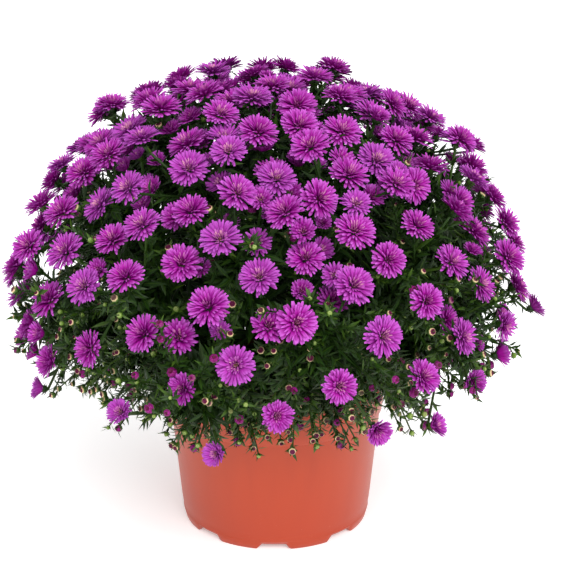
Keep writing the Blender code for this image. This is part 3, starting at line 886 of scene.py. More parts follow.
def add_sprigs(surface, rng, lines, blooms, kind):
    """Adds the leaves of one kind of stalk: each stalk has one at every share of the way, turning by the
    golden angle. Leaves that would reach into a bloom or the pot are left out."""
    outline, shares, lengths, slope, slim = SPRIGS[kind]
    shape = (len(lines), len(shares))
    share = np.clip(shares + rng.uniform(-LEAF_SLIDE, LEAF_SLIDE, shape), 0, 1)
    root, axis = on_lines(lines, share)
    turn = np.arange(len(shares)) * GOLDEN_TURN + rng.uniform(0, 2 * math.pi, (len(lines), 1))
    across = perpendicular(axis)
    out = turned(across, np.cross(axis, across), turn + rng.normal(0, LEAF_TURN, shape))
    tilt = slope + rng.normal(0, LEAF_TILT, shape)
    length = (lengths[0] + (lengths[1] - lengths[0]) * share) * rng.uniform(*LEAF_STRETCHES, shape)
    heading, upward = turned(axis, out, tilt), turned(-out, axis, tilt)
    root, heading, upward = (part.reshape(-1, 3) for part in (root, heading, upward))
    length, share = length.ravel(), share.ravel()
    tip = root + heading * length[:, None]
    keep = clear_of_blooms(tip, blooms) & clear_of_blooms((root + tip) / 2, blooms) & clear_of_pot(tip)
    root, heading, upward, length, share = (part[keep] for part in (root, heading, upward, length, share))
    add_blades(
        surface, outline, root, heading, upward, length, length * slim * rng.uniform(*LEAF_WIDTHS, len(root)),
        rng.normal(LEAF_ARCH, LEAF_CURL, len(root)),
        tone=rng.uniform(0, 1, len(root)) + LEAF_TIP_TONE * (share - LEAF_EVEN_AT), stem=WOODY["leaf"])


def plan_twigs(rng):
    """Curved twigs that fill the bush: each tip lies near the dome, and its root on the nearest stem. Each
    has its line of points, the number of its stem, its direction from the dome's middle and how far out it
    ends."""
    directions = spiral(TWIG_COUNT, TWIG_ANGLES, TWIG_CROWDING)
    directions = unit(directions + rng.normal(0, TWIG_LOOSENESS, directions.shape))
    polar = np.arccos(directions[:, 2])
    out = rng.uniform(*TWIG_DEPTHS, TWIG_COUNT) * np.interp(polar, TWIG_REACH_ANGLES, TWIG_REACHES)
    trim = np.interp(polar, TWIG_TRIM_ANGLES, TWIG_TRIMS)
    tips = DOME_CENTRE + directions * (dome_reach(directions) * out * trim)[:, None]
    marks = [along(stem["path"], t) for stem in BUSH for t in np.linspace(*TWIG_ROOTS, TWIG_ROOT_MARKS)]
    roots, axes = (np.array(part) for part in zip(*marks))
    wanted = tips - unit(directions + TWIG_LIFT * UP) * rng.uniform(*TWIG_LENGTHS, (TWIG_COUNT, 1))
    nearest = np.linalg.norm(roots - wanted[:, None], axis=2).argmin(axis=1)
    root, axis = roots[nearest], axes[nearest]
    length = np.linalg.norm(tips - root, axis=1, keepdims=True)
    bend = root + (TWIG_ALONG_STEM * axis + TWIG_UPWARD * UP) * length + TWIG_AHEAD * (tips - root)
    t = np.linspace(0, 1, TWIG_POINTS)[None, :, None]
    lines = (1 - t) ** 2 * root[:, None] + 2 * t * (1 - t) * bend[:, None] + t ** 2 * tips[:, None]
    return lines, nearest // TWIG_ROOT_MARKS, directions, out


def stem_line(stem):
    """Points along a stem, from its foot in the soil to its fork."""
    start = stem["path"][0]
    foot = start - UP * (STEM_DEPTH + STEM_CLEAR)
    marks = [along(stem["path"], t)[0] for t in np.linspace(0, 1, STEM_MARKS)]
    return np.array([foot, foot + STEM_KNEE * (start - foot), *marks])


def stalk_lines(blooms, rng):
    """Lines of the blooms' stalks, bowed a little to one side."""
    root, neck = stacked(blooms, "root")[:, None], stacked(blooms, "neck")[:, None]
    t = np.linspace(0, 1, STALK_MARKS)[None, :, None]
    return root * (1 - t) + neck * t + rng.normal(0, STALK_BOW, (len(blooms), 1, 3)) * np.sin(math.pi * t)


def notch_height(turn):
    """Height of the foot's lower edge: zero, but for a rounded trapezoid at each notch."""
    pitch = 2 * math.pi / NOTCHES
    apart = np.abs((turn - NOTCH_TURN + math.pi / 2 + pitch / 2) % pitch - pitch / 2) * FOOT_RADIUS
    share = np.clip((NOTCH_LOW_WIDTH - 2 * apart) / (NOTCH_LOW_WIDTH - NOTCH_HIGH_WIDTH), 0, 1)
    return NOTCH_HEIGHT * share * share * (3 - 2 * share)


def pot_profile(turn):
    """Radius and height of the pot's skin, from the middle of its underside, out and up the wall with its
    skirt and collar, over the rim and down the inside to the middle of the floor. At the notches the foot's
    edge is higher."""
    soft = EDGE_ROUND / 2
    ledge = FOOT_RADIUS - FOOT_WIDTH
    skirt = wall_radius(SKIRT_HEIGHT) + SKIRT_PROUD
    collar = wall_radius(COLLAR_EDGE_Z) + COLLAR_STEP
    shoulder = POT_HEIGHT - EDGE_ROUND
    flat, inner = RIM_RADIUS - EDGE_ROUND, RIM_RADIUS - EDGE_ROUND - WALL
    floor = wall_radius(FLOOR_Z) - WALL
    under = [(0, FLOOR_Z), (DRAIN_RING, FLOOR_Z), (ledge, FLOOR_Z)]
    foot = [(ledge, soft), (ledge + soft, 0), (FOOT_RADIUS - soft, 0), (FOOT_RADIUS, soft)]
    wall = [(skirt, SKIRT_HEIGHT - soft), (skirt - SKIRT_PROUD / 2, SKIRT_HEIGHT)]
    wall += [(wall_radius(z), z) for z in np.linspace(SKIRT_HEIGHT + soft, COLLAR_EDGE_Z - soft, WALL_MARKS)]
    rim = [(collar - soft, COLLAR_EDGE_Z - soft / 3), (collar, COLLAR_EDGE_Z + soft / 2)]
    rim += [(collar + (RIM_RADIUS - collar) * t, COLLAR_EDGE_Z + (shoulder - COLLAR_EDGE_Z) * t)
            for t in COLLAR_MARKS]
    rim += [(RIM_RADIUS - EDGE_ROUND * RIM_SHOULDER, POT_HEIGHT - EDGE_ROUND * RIM_SHOULDER),
            (flat, POT_HEIGHT), (inner + soft, POT_HEIGHT), (inner, POT_HEIGHT - soft)]
    inside = [(wall_radius(COLLAR_EDGE_Z) - WALL, COLLAR_EDGE_Z - EDGE_ROUND),
              (floor, FLOOR_Z + WALL + soft), (floor - soft, FLOOR_Z + WALL), (0, FLOOR_Z + WALL)]
    radius, height = np.array(under + foot + wall + rim + inside).T
    follows = np.repeat((0, 1, 0), (len(under), len(foot), len(wall + rim + inside)))
    return radius, height + notch_height(turn)[:, None] * follows


def drill(item, lines, radius):
    """Cuts round holes along some lines through a piece."""
    cutters = bpy.data.collections.new(item.name + "_holes")
    bpy.context.scene.collection.children.link(cutters)
    tubes = Surface()
    add_tubes(tubes, lines, radius, SIDES["hole"])
    cutter = bpy.data.objects.new(item.name + "_hole", tubes.mesh(item.name + "_hole"))
    cutters.objects.link(cutter)
    change = item.modifiers.new("holes", "BOOLEAN")
    change.operation, change.solver = "DIFFERENCE", "EXACT"
    change.operand_type, change.collection = "COLLECTION", cutters
    bpy.context.view_layer.update()
    item.data = bpy.data.meshes.new_from_object(item.evaluated_get(bpy.context.evaluated_depsgraph_get()))
    item.modifiers.clear()
    bpy.data.objects.remove(cutter)
    bpy.data.collections.remove(cutters)


class Value:
    """A socket in a material's nodes. Arithmetic on it adds Math nodes."""

    def __init__(self, finish, socket):
        self.finish, self.socket = finish, socket

    def math(self, operation, *terms):
        """A Math node on some terms, one of which is this value."""
        return self.finish.node("ShaderNodeMath", {"operation": operation}, dict(enumerate(terms)))

    def __add__(self, other):
        return self.math("ADD", self, other)

    def __sub__(self, other):
        return self.math("SUBTRACT", self, other)

    def __rsub__(self, other):
        return self.math("SUBTRACT", other, self)

    def __mul__(self, other):
        return self.math("MULTIPLY", self, other)

    def __abs__(self):
        return self.math("ABSOLUTE", self)

    __radd__ = __add__
    __rmul__ = __mul__

    def step(self, low, high):
        """A smooth step from 0 at low to 1 at high."""
        return self.finish.node(
            "ShaderNodeMapRange", {"interpolation_type": "SMOOTHSTEP"},
            {"Value": self, "From Min": low, "From Max": high})


class Finish:
    """A Principled material and the nodes that feed it."""

    def __init__(self, name, **constants):
        self.material = bpy.data.materials.new(name)
        self.material.use_nodes = True
        self.tree = self.material.node_tree
        self.shader = self.tree.nodes["Principled BSDF"]
        for socket, number in constants.items():
            self.shader.inputs[socket.replace("_", " ")].default_value = number

    def node(self, kind, settings, sockets, out=0):
        """One output of a new node with its settings, and then its sockets' numbers or links."""
        made = self.tree.nodes.new(kind)
        for key, setting in settings.items():
            setattr(made, key, setting)
        for key, source in sockets.items():
            if isinstance(source, Value):
                self.tree.links.new(source.socket, made.inputs[key])
            else:
                made.inputs[key].default_value = source
        return Value(self, made.outputs[out])

    def place(self):
        """The place on the object, in metres."""
        return self.node("ShaderNodeTexCoord", {}, {}, "Object")

    def height(self):
        """The height over the ground, in metres."""
        return self.node("ShaderNodeSeparateXYZ", {}, {0: self.place()}, 2)

    def fields(self, *names):
        """Some per-point numbers of the mesh."""
        return (self.node("ShaderNodeAttribute", {"attribute_name": name}, {}, "Fac") for name in names)

    def noise(self, scale, detail=2.0, rough=0.5, where=None):
        """Noise from 0 to 1 at some scale per metre."""
        sockets = {"Vector": where or self.place(), "Scale": scale, "Detail": detail, "Roughness": rough}
        return self.node("ShaderNodeTexNoise", {}, sockets)

    def cells(self, scale):
        """Distance to the middle of the nearest of many cells, at some scale per metre."""
        return self.node("ShaderNodeTexVoronoi", {}, {"Vector": self.place(), "Scale": scale})

    def join(self, x, y, z):
        """A vector of three values."""
        return self.node("ShaderNodeCombineXYZ", {}, {0: x, 1: y, 2: z})

    def mix(self, first, second, share):
        """A colour between two, by a share."""
        first, second = (c if isinstance(c, Value) else (*c, 1.0) for c in (first, second))
        settings = {"data_type": "RGBA", "blend_type": "MIX", "clamp_factor": True}
        return self.node("ShaderNodeMix", settings, {0: share, 6: first, 7: second}, 2)

    def feed(self, socket, value):
        """Links a value to the shader."""
        self.tree.links.new(value.socket, self.shader.inputs[socket])

    def bump(self, height, depth):
        """Relief of some depth in metres, by a height from 0 to 1."""
        sockets = {"Strength": 1.0, "Distance": depth, "Height": height}
        self.feed("Normal", self.node("ShaderNodeBump", {}, sockets))


def petal_finish(look):
    """Magenta ray florets: deep at the root, bright on the blade, pale at the tip, and finely streaked."""
    f = Finish("petal_magenta", Roughness=0.6, Specular_IOR_Level=0.08)
    at, side, tone, ring, ripe = f.fields("along", "across", "tone", "ring", "ripe")
    streak = f.noise(1.0, 3.0, 0.6, f.join(side * 3.2, at * 1.1, tone * 37.0))
    outer = 1 - ring.step(0.1, 0.75)
    blade = (at + 0.28 * outer).step(0.10, 0.75)
    tip = at.step(0.50, 1.05) * (0.2 + 0.5 * tone + 0.3 * outer) * (0.3 + streak)
    colour = f.mix(look.deep, look.bright, blade * (0.72 + 0.28 * streak))
    colour = f.mix(colour, look.pale, tip)
    colour = f.mix(colour, look.deep, (1 - tone).step(0.62, 1.0) * 0.40)
    colour = f.mix(colour, look.aged, ripe.step(0.55, 1.0) * (0.25 + 0.35 * streak))
    heart = (ring + 0.15 * ripe).step(0.55, 0.85)
    crown = heart * at.step(0.40, 0.90) * tone.step(0.05, 0.65) * (0.4 + 0.6 * ripe)
    colour = f.mix(colour, look.throat, heart * (1 - at.step(0.15, 0.60)) * 0.80)
    f.feed("Base Color", f.mix(colour, look.heart, crown))
    f.bump(streak, 0.00012)
    return f.material


def eye_finish(look):
    """Small tubular florets in the middle, olive to yellow, with painted shade in dark magenta between them.
    """
    f = Finish("floret_eye", Roughness=0.6, Specular_IOR_Level=0.3)
    tone, = f.fields("tone")
    grain = f.cells(1400.0)
    colour = f.mix(look.throat, look.eye, tone.step(0.45, 0.85))
    # Painted shade: the deep colour in the gaps between the little florets.
    f.feed("Base Color", f.mix(colour, look.deep, grain.step(0.30, 0.75) * 0.8))
    f.bump(1 - grain, 0.0004)
    return f.material


def leaf_finish(look):
    """Dark green leaves with a paler midrib and a painted grey sheen towards the edges, and stems that turn
    brown low down.
    """
    f = Finish("leaf_green", Specular_IOR_Level=0.25)
    at, side, tone, stem = f.fields("along", "across", "tone", "stem")
    mottle = f.noise(420.0, 4.0, 0.6)
    colour = f.mix(look.dark, look.green, tone * 0.75 + mottle * 0.45 - 0.1)
    colour = f.mix(colour, look.fresh, tone.step(0.70, 1.0) * (0.15 + 0.55 * at))
    blade = 1 - stem.step(0.1, 0.3)
    rib = (1 - abs(side).step(0.0, 0.20)) * (1 - at.step(0.6, 1.0)) * blade
    colour = f.mix(colour, look.fresh, rib * 0.45)
    # Painted sheen: grey mixed in towards the leaf edges, in patches, for light glancing off the leaves.
    colour = f.mix(colour, look.sheen_grey, abs(side).step(0.1, 0.95) * f.noise(160.0) * blade * 0.55)
    wood = stem.step(0.6, 0.95) * (1 - f.height().step(0.13, 0.24))
    colour = f.mix(colour, look.stalk, stem.step(0.55, 0.9) * 0.8)
    f.feed("Base Color", f.mix(colour, look.wood, wood * (0.5 + 0.5 * mottle)))
    f.feed("Roughness", 0.36 + 0.22 * mottle)
    veins = f.noise(1.0, where=f.join(abs(side) * 2.0 + at * 9.0, tone * 31.0, abs(side) * 1.5))
    f.bump(veins * 0.6 + mottle * 0.4, 0.00018)
    return f.material


def bud_finish(look):
    """Buds: green below, a cream ring of folded florets, and a dark red middle. The young ones are lime all
    over, and the ripest show magenta florets, with painted shade in dark red between their folds."""
    f = Finish("bud_cream", Roughness=0.55, Specular_IOR_Level=0.2)
    at, ripe, tone = f.fields("along", "ripe", "tone")
    grain, folds = f.noise(900.0, 3.0), f.cells(1100.0)
    ring = at + (grain - 0.5) * 0.06
    young = f.mix(look.lime, look.pale_lime, ring.step(0.45, 0.72))
    young = f.mix(young, look.lime, ring.step(0.80, 0.90) * 0.8)
    ready = f.mix(look.green, look.cream, ring.step(0.37, 0.45))
    ready = f.mix(ready, look.red, ring.step(0.50, 0.57))
    # Painted shade: dark red in the creases between the folds, with the bud's own dark red middle.
    depth = (folds.step(0.25, 0.60) * 0.7 + ring.step(0.62, 0.80)) * ring.step(0.30, 0.45)
    opening = f.mix(f.mix(look.green, look.magenta, ring.step(0.28, 0.40)), look.red, depth)
    colour = f.mix(young, ready, ripe.step(*BUD_RIPENESS[:2]))
    colour = f.mix(colour, opening, ripe.step(*BUD_RIPENESS[2:]))
    f.feed("Base Color", f.mix(colour, look.green, (1 - tone).step(0.8, 1.0) * 0.3))
    f.bump(grain, 0.0003)
    return f.material


def plastic_finish(look):
    """Moulded terracotta plastic: satin, with faint flow marks, fine grain, a few scuffs low down, and
    painted shade that darkens the wall towards the foot.
    """
    f = Finish("pot_plastic", Specular_IOR_Level=0.5)
    flow = f.noise(1.0, 3.0, 0.55, f.node("ShaderNodeMapping", {}, {0: f.place(), 3: (60.0, 60.0, 9.0)}))
    grain, height = f.noise(5200.0), f.height()
    scuff = f.noise(260.0, 5.0, 0.7).step(0.66, 0.74) * (1 - height.step(0.01, 0.05))
    colour = f.mix(look.plastic, look.flow_marks_and_shade, flow.step(0.35, 0.75) * 0.55)
    # Painted shade: the wall darkens towards the foot.
    colour = f.mix(colour, look.flow_marks_and_shade, (1 - height.step(0.004, 0.080)) * 0.85)
    f.feed("Base Color", f.mix(colour, look.dust, scuff * 0.30))
    f.feed("Roughness", look.roughness + 0.08 * flow + 0.10 * grain + 0.15 * scuff)
    f.bump(grain * 0.5 + flow * 0.5, 0.00006)
    return f.material


def peat_finish(look):
    """Moist peat: near black, with brown fibres and a few pale grains."""
    f = Finish("peat", Roughness=0.95, Specular_IOR_Level=0.25)
    lumps, grains = f.noise(130.0, 8.0, 0.65), f.cells(420.0)
    colour = f.mix(look.peat, look.fibre, lumps.step(0.42, 0.75))
    f.feed("Base Color", f.mix(colour, look.grit, (1 - grains.step(0.05, 0.14)) * lumps.step(0.5, 0.62)))
    f.bump(lumps * 0.7 + grains * 0.3, 0.0012)
    return f.material


def floor_finish(look):
    """Plain pale matt floor that glows faintly: painted light that lifts the plant's shadow on it."""
    f = Finish("floor_pale", Roughness=0.9, Specular_IOR_Level=0.1, Emission_Strength=0.34)
    for socket in ("Base Color", "Emission Color"):
        f.shader.inputs[socket].default_value = (*look.floor, 1.0)
    return f.material


def colour_setting(name, text, value):
    """A colour that a user may change."""
    return bpy.props.FloatVectorProperty(
        name=name, description=text, subtype="COLOR", size=3, min=0, max=1, default=value)


def angle_setting(name, text, degrees):
    """An angle that a user may change."""
    return bpy.props.FloatProperty(
        name=name, description=text, subtype="ANGLE", unit="ROTATION", default=math.radians(degrees))


class AsterBlooms(bpy.types.PropertyGroup):
    """Colours of the blooms."""

    deep: colour_setting("Deep", "Colour of a floret's root and of the shaded ones", (0.120, 0.000, 0.100))
    bright: colour_setting("Bright", "Colour of a floret's blade", (0.420, 0.008, 0.345))
    pale: colour_setting("Pale", "Colour of the lightest floret tips", (0.55, 0.145, 0.62))
    aged: colour_setting("Aged", "Colour that the oldest blooms turn to", (0.36, 0.075, 0.42))
    throat: colour_setting("Throat", "Colour of the roots of the innermost florets", (0.10, 0.012, 0.018))
    heart: colour_setting("Heart", "Colour of the tips of the innermost florets", (0.64, 0.29, 0.38))
    eye: colour_setting("Eye", "Colour of the tubular florets in the middle", (0.34, 0.22, 0.03))


class AsterFoliage(bpy.types.PropertyGroup):
    """Colours of leaves and stems."""

    dark: colour_setting("Dark", "Colour of the oldest leaves", (0.006, 0.021, 0.002))
    green: colour_setting("Green", "Colour of most leaves", (0.014, 0.050, 0.003))
    fresh: colour_setting("Fresh", "Colour of young leaves and midribs", (0.085, 0.160, 0.014))
    # The sheen grey is a painted sheen on the leaves towards their edges.
    sheen_grey: colour_setting("Grey", "Colour of the matt bloom towards the leaf edges", (0.038, 0.075, 0.025))
    stalk: colour_setting("Stalk", "Colour of the green stalks", (0.040, 0.080, 0.016))
    wood: colour_setting("Wood", "Colour of the stems near the soil", (0.060, 0.035, 0.015))


class AsterBuds(bpy.types.PropertyGroup):
    """Colours of the buds."""

    green: colour_setting("Green", "Colour of the bracts under a bud", (0.06, 0.13, 0.025))
    cream: colour_setting("Cream", "Colour of the ring of folded florets", (0.68, 0.50, 0.28))
    red: colour_setting("Red", "Colour of the middle", (0.090, 0.002, 0.032))
    lime: colour_setting("Lime", "Colour of young buds", (0.120, 0.210, 0.030))
    pale_lime: colour_setting("Pale lime", "Colour of the ring on young buds", (0.30, 0.37, 0.12))
    magenta: colour_setting("Magenta", "Colour of the buds that open next", (0.300, 0.008, 0.215))


class AsterPot(bpy.types.PropertyGroup):
    """Colours of the pot and of the soil in it."""

    plastic: colour_setting("Plastic", "Colour of the pot", (0.425, 0.041, 0.005))
    # The deeper plastic is the colour of the real flow marks, and also painted shade low on the wall.
    flow_marks_and_shade: colour_setting(
        "Deep plastic", "Colour of the flow marks and of the low part of the wall", (0.375, 0.034, 0.005))
    dust: colour_setting("Dust", "Colour of the scuffs", (0.72, 0.46, 0.36))
    roughness: bpy.props.FloatProperty(
        name="Roughness", description="Roughness of the plastic at its smoothest", subtype="FACTOR",
        min=0, max=1, default=0.30)
    peat: colour_setting("Peat", "Colour of the soil", (0.016, 0.010, 0.007))
    fibre: colour_setting("Fibre", "Colour of the fibres in the soil", (0.055, 0.030, 0.016))
    grit: colour_setting("Grit", "Colour of the pale grains in the soil", (0.42, 0.38, 0.32))
    crumbs: bpy.props.IntProperty(
        name="Crumbs", description="Number of loose lumps of soil", min=0, max=2000, default=180)


class AsterStage(bpy.types.PropertyGroup):
    """Floor, lights and camera."""

    floor: colour_setting("Floor", "Colour of the floor", (0.93, 0.93, 0.93))
    sky: bpy.props.FloatProperty(
        name="Sky", description="Strength of the even white light", min=0, default=0.92)
    sun: bpy.props.FloatProperty(
        name="Sun", description="Strength of the soft front light", min=0, default=2.35)
    sun_height: angle_setting("Sun height", "Angle of the front light over the floor", 42)
    sun_turn: angle_setting("Sun turn", "Angle of the front light to the camera's right", 18)
    sun_size: angle_setting("Sun size", "Angle that the front light fills", 38)
    distance: bpy.props.FloatProperty(
        name="Distance", description="From the camera to the point it looks at", subtype="DISTANCE",
        unit="LENGTH", default=1.4585)
    pitch: angle_setting("Pitch", "How far the camera looks down", 19.5)
    focus: bpy.props.FloatVectorProperty(
        name="Target", description="The point that the camera looks at", subtype="TRANSLATION",
        unit="LENGTH", size=3, default=(0.0072, 0.0, 0.2094))
    lens: bpy.props.FloatProperty(
        name="Lens", description="Focal length in millimetres", min=1, default=109.33)


class BuildStage(bpy.types.Operator):
    """Lays the pale floor, sets the soft light and places the camera"""

    bl_idname = "aster.build_stage"
    bl_label = "Floor, light and camera"

    def execute(self, context):
        scene, look = context.scene, context.scene.aster_stage
        floor = bpy.data.meshes.new("floor")
        corners = [(x * FLOOR_HALF, y * FLOOR_HALF, 0) for x, y in ((-1, -1), (1, -1), (1, 1), (-1, 1))]
        floor.from_pydata(corners, [], [(0, 1, 2, 3)])
        floor.materials.append(floor_finish(look))
        placed("floor", floor)
        scene.world = bpy.data.worlds.new("studio")
        scene.world.use_nodes = True
        light = scene.world.node_tree.nodes["Background"].inputs
        light["Color"].default_value, light["Strength"].default_value = (1, 1, 1, 1), look.sky
        sun = bpy.data.lights.new("front_light", "SUN")
        sun.energy, sun.angle = look.sun, look.sun_size
        placed("front_light", sun).rotation_euler = (math.pi / 2 - look.sun_height, 0, look.sun_turn)
        camera = bpy.data.cameras.new("camera")
        camera.lens, camera.sensor_width = look.lens, SENSOR_WIDTH
        camera.clip_start, camera.clip_end = CLIPPING
        scene.camera = placed("camera", camera)
        x, y, z = look.focus
        back, rise = look.distance * math.cos(look.pitch), look.distance * math.sin(look.pitch)
        scene.camera.location = (x, y - back, z + rise)
        scene.camera.rotation_euler = (math.pi / 2 - look.pitch, 0, 0)
        scene.view_settings.view_transform = "Standard"
        scene.view_settings.look = "None"
        return {"FINISHED"}


class BuildPot(bpy.types.Operator):
    """Turns the smooth pot with its collar, notched skirt and drain holes"""

    bl_idname = "aster.build_pot"
    bl_label = "Pot"

    def execute(self, context):
        surface, turn = Surface(), full_turn(POT_TURNS)
        add_turned(surface, turn, *pot_profile(turn))
        item = surface.piece("smooth_pot", plastic_finish(context.scene.aster_pot), "pot_plastic", "pot")
        angles = NOTCH_TURN - math.pi / 2 + full_turn(NOTCHES)
        depths = np.linspace(FLOOR_Z - WALL, FLOOR_Z + 2 * WALL, 3)
        drill(item, about_z(DRAIN_RING, angles[:, None], depths), DRAIN_RADIUS)
        return {"FINISHED"}


class BuildSoil(bpy.types.Operator):
    """Fills the pot with uneven peat and strews crumbs on it"""

    bl_idname = "aster.build_soil"
    bl_label = "Soil"

    def execute(self, context):
        look = context.scene.aster_pot
        rng = np.random.default_rng(SOIL_SEED)
        finish = peat_finish(look)
        clear, bottom = WALL + SOIL_CLEAR, FLOOR_Z + WALL + CONTACT_GAP
        edge = wall_radius(SOIL_TOP) - clear
        turn, share = full_turn(SOIL_TURNS), np.linspace(1, 0, SOIL_RINGS)
        waves = rng.normal(0, SOIL_WAVE_PITCH, (SOIL_WAVES, 2)).T
        phase = rng.uniform(0, 2 * math.pi, SOIL_WAVES)
        place = about_z(edge * share, turn[:, None], 0)[..., :2]
        lumps = np.sin(place @ waves + phase).mean(axis=2) * SOIL_RELIEF * (1 - share ** SOIL_EDGE_POWER)
        lumps[:, -1] = lumps[0, -1]
        side = np.broadcast_to([bottom, bottom, SOIL_TOP - SOIL_EDGE_DROP], (SOIL_TURNS, 3))
        soil = Surface()
        add_turned(
            soil, turn, np.array([0, wall_radius(FLOOR_Z) - clear, edge, *(edge * share)]),
            np.concatenate([side, SOIL_TOP + lumps], axis=1))
        soil.piece("peat_soil", finish, "peat", "soil")
        angle = rng.uniform(0, 2 * math.pi, look.crumbs)
        out = (edge - CRUMB_GUARD) * np.sqrt(rng.uniform(0, 1, look.crumbs))
        size = rng.uniform(*CRUMB_SIZES, look.crumbs)
        place = about_z(out, angle, SOIL_TOP + size * CRUMB_LIFT)
        axis = unit(rng.normal(0, 1, place.shape))
        across = unit(np.cross(axis, rng.normal(0, 1, place.shape)))
        crumbs = Surface()
        add_domes(crumbs, place, axis, across, CRUMB_PROFILE, SIDES["crumb"], size)
        crumbs.piece("soil_crumbs", finish, "peat")
        return {"FINISHED"}


class BuildBlooms(bpy.types.Operator):
    """Builds the double blooms of every spray, floret by floret"""

    bl_idname = "aster.build_blooms"
    bl_label = "Blooms"

    def execute(self, context):
        look = context.scene.aster_blooms
        rng = np.random.default_rng(BLOOM_SEED)
        petals, middles = petal_finish(look), eye_finish(look)
        eyes = Surface("along", "tone")
        for k, stem in enumerate(BUSH):
            surface = Surface("along", "across", "tone", "ring", "ripe")
            grown = [[bloom for bloom in stem["blooms"] if bloom["late"] == late] for late in (False, True)]
            ripe = [add_florets(surface, rng, blooms, late) for late, blooms in enumerate(grown) if blooms]
            surface.piece(f"blooms_{k:02d}", petals, "petal_magenta", f"flower_spray_{k:02d}")
            middle, size = (stacked(stem["blooms"], key) for key in ("middle", "size"))
            frames = bloom_frames(stem["blooms"])
            add_domes(eyes, middle, *frames[:2], EYE_PROFILE, SIDES["eye"], size, tone=np.concatenate(ripe))
        eyes.piece("bloom_eyes", middles, "petal_magenta")
        return {"FINISHED"}


def grow_stem(surface, rng, stem, blooms):
    """Adds a stem with the leaves up it and its stars of leaves, and its stalks with cups and leaves."""
    line = stem_line(stem)[None]
    add_tubes(surface, line, STEM_RADIUS, SIDES["stem"], tone=STEM_TONE, stem=WOODY["stem"])
    add_sprigs(surface, rng, line[:, 2:], blooms, "stem")
    stalks = stalk_lines(stem["blooms"], rng)
    foot, neck = stacked(stem["blooms"], "radius") * STALK_RADII[0], NECK_RADIUS * STALK_RADII[1]
    add_tubes(
        surface, stalks, np.linspace(foot, neck, STALK_MARKS).T, SIDES["stalk"],
        tone=rng.uniform(0, 1, len(stalks)), stem=WOODY["stalk"])
    add_calyxes(surface, rng, stem["blooms"])
    add_sprigs(surface, rng, stalks, blooms, "stalk")
    root, tip, axis = (np.array(part) for part in zip(*stem["leaves"]))
    length = np.linalg.norm(tip - root, axis=1)
    width = np.clip(length * STAR_SLIM, *STAR_WIDTHS)
    add_blades(
        surface, LEAF, root, unit(tip - root) + STAR_RISE * axis, axis, length, width, STAR_ARCH,
        tone=rng.uniform(0, 1, len(root)), stem=WOODY["leaf"])


def grow_twigs(surface, rng, lines, blooms, foot, *kinds):
    """Adds twigs that taper from some radius at the foot, with their leaves."""
    add_tubes(
        surface, lines, np.linspace(foot, TWIG_RADIUS, lines.shape[1]), SIDES["twig"],
        tone=rng.uniform(0, 1, len(lines)), stem=WOODY["stalk"])
    for kind in kinds:
        add_sprigs(surface, rng, lines, blooms, kind)


def side_shoots(rng, lines, directions, blooms):
    """Short bowed side shoots near the tips of some twigs, of three points each, that lean outwards."""
    chosen = rng.uniform(0, 1, len(lines)) < SIDE_SHOOT_SHARE
    place, axis = on_lines(lines[chosen], rng.uniform(*SIDE_SHOOT_PLACES, (int(chosen.sum()), 1)))
    place, axis = place[:, 0], axis[:, 0]
    lean = unit(axis + SIDE_SHOOT_LEAN * directions[chosen] + rng.normal(0, SIDE_SHOOT_SHAKE, axis.shape))
    length = rng.uniform(*SIDE_SHOOT_LENGTHS, (len(place), 1))
    tip = place + lean * length
    ahead = SIDE_SHOOT_STRAIGHT * axis + (1 - SIDE_SHOOT_STRAIGHT) * lean
    keep = clear_of_blooms(tip, blooms) & clear_of_pot(tip)
    return np.stack([place, place + ahead * length * SIDE_SHOOT_ELBOW, tip], axis=1)[keep]


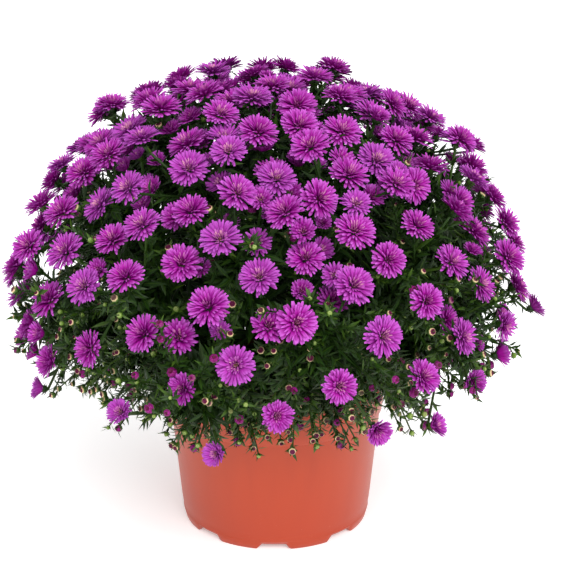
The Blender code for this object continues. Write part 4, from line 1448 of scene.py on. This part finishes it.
class BuildFoliage(bpy.types.Operator):
    """Builds stems, stalks, twigs and leaves, and the buds at the ends of shoots and twigs"""

    bl_idname = "aster.build_foliage"
    bl_label = "Leaves, stems and buds"

    def execute(self, context):
        rng = np.random.default_rng(TWIG_SEED)
        green, budded = leaf_finish(context.scene.aster_foliage), bud_finish(context.scene.aster_buds)
        blooms = [bloom for stem in BUSH for bloom in stem["blooms"]]
        twigs, home, directions, out = plan_twigs(rng)
        polar = np.arccos(directions[:, 2])
        budding = rng.uniform(0, 1, TWIG_COUNT) < np.interp(polar, BUD_CHANCE_ANGLES, BUD_CHANCES)
        budding &= (out > BUD_DEPTH) & clear_of_blooms(twigs[:, -1], blooms)
        for k, stem in enumerate(BUSH):
            surface, buds = Surface("along", "across", "tone", "stem"), Surface("along", "ripe", "tone")
            grow_stem(surface, rng, stem, blooms)
            shoots = np.array(stem["shoots"])
            marks = np.linspace(0, 1, TWIG_POINTS)[:, None]
            for lines in (twigs[home == k], shoots[:, :1] + (shoots[:, 1:] - shoots[:, :1]) * marks):
                grow_twigs(surface, rng, lines, blooms, TWIG_RADIUS * TWIG_FOOT, "twig", "twig's foot")
            mine = budding & (home == k)
            low = mine & (polar > SIDE_SHOOT_ANGLE)
            sides = side_shoots(rng, twigs[low], directions[low], blooms)
            if len(sides):
                grow_twigs(surface, rng, sides, blooms, TWIG_RADIUS, "side shoot")
            ended = twigs[mine], shoots, sides
            tips = np.concatenate([lines[:, -1] for lines in ended])
            axes = unit(np.concatenate([lines[:, -1] - lines[:, -2] for lines in ended]))
            axes = unit(axes + BUD_TURN * unit(unit(tips - DOME_CENTRE) + BUD_LIFT * UP))
            ripe = rng.uniform(0, 1, len(tips))
            sizes = rng.uniform(*BUD_RADII, len(tips)) * np.interp(ripe, BUD_RIPENESS, BUD_GROWTH)
            add_buds(buds, surface, rng, tips, axes, sizes, ripe)
            buds.piece(f"buds_{k:02d}", budded, "petal_magenta")
            surface.piece(f"foliage_{k:02d}", green, "leaf_green", f"leafy_stem_{k:02d}")
        return {"FINISHED"}


class AsterPanel(bpy.types.Panel):
    """Lists the plant's pieces and the stage."""

    bl_idname = "ASTER_PT_pieces"
    bl_label = "Potted aster"
    bl_space_type = "VIEW_3D"
    bl_region_type = "UI"
    bl_category = "Aster"

    def draw(self, context):
        for operator in OPERATORS:
            self.layout.operator(operator.bl_idname)
        for name in SETTINGS:
            box = self.layout.box()
            group = getattr(context.scene, name)
            for key in group.__annotations__:
                box.prop(group, key)


SETTINGS = {
    "aster_blooms": AsterBlooms,
    "aster_foliage": AsterFoliage,
    "aster_buds": AsterBuds,
    "aster_pot": AsterPot,
    "aster_stage": AsterStage,
}
OPERATORS = (BuildStage, BuildPot, BuildSoil, BuildBlooms, BuildFoliage)


def register():
    """Registers the classes and hangs the settings on the scene."""
    for item in (*SETTINGS.values(), *OPERATORS, AsterPanel):
        bpy.utils.register_class(item)
    for name, group in SETTINGS.items():
        setattr(bpy.types.Scene, name, bpy.props.PointerProperty(type=group))


def unregister():
    """Takes the settings and classes away again."""
    for name in SETTINGS:
        delattr(bpy.types.Scene, name)
    for item in reversed((*SETTINGS.values(), *OPERATORS, AsterPanel)):
        bpy.utils.unregister_class(item)


def main():
    """Builds everything."""
    register()
    bpy.ops.aster.build_stage()
    bpy.ops.aster.build_pot()
    bpy.ops.aster.build_soil()
    bpy.ops.aster.build_blooms()
    bpy.ops.aster.build_foliage()
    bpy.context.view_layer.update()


if __name__ == "__main__":
    main()
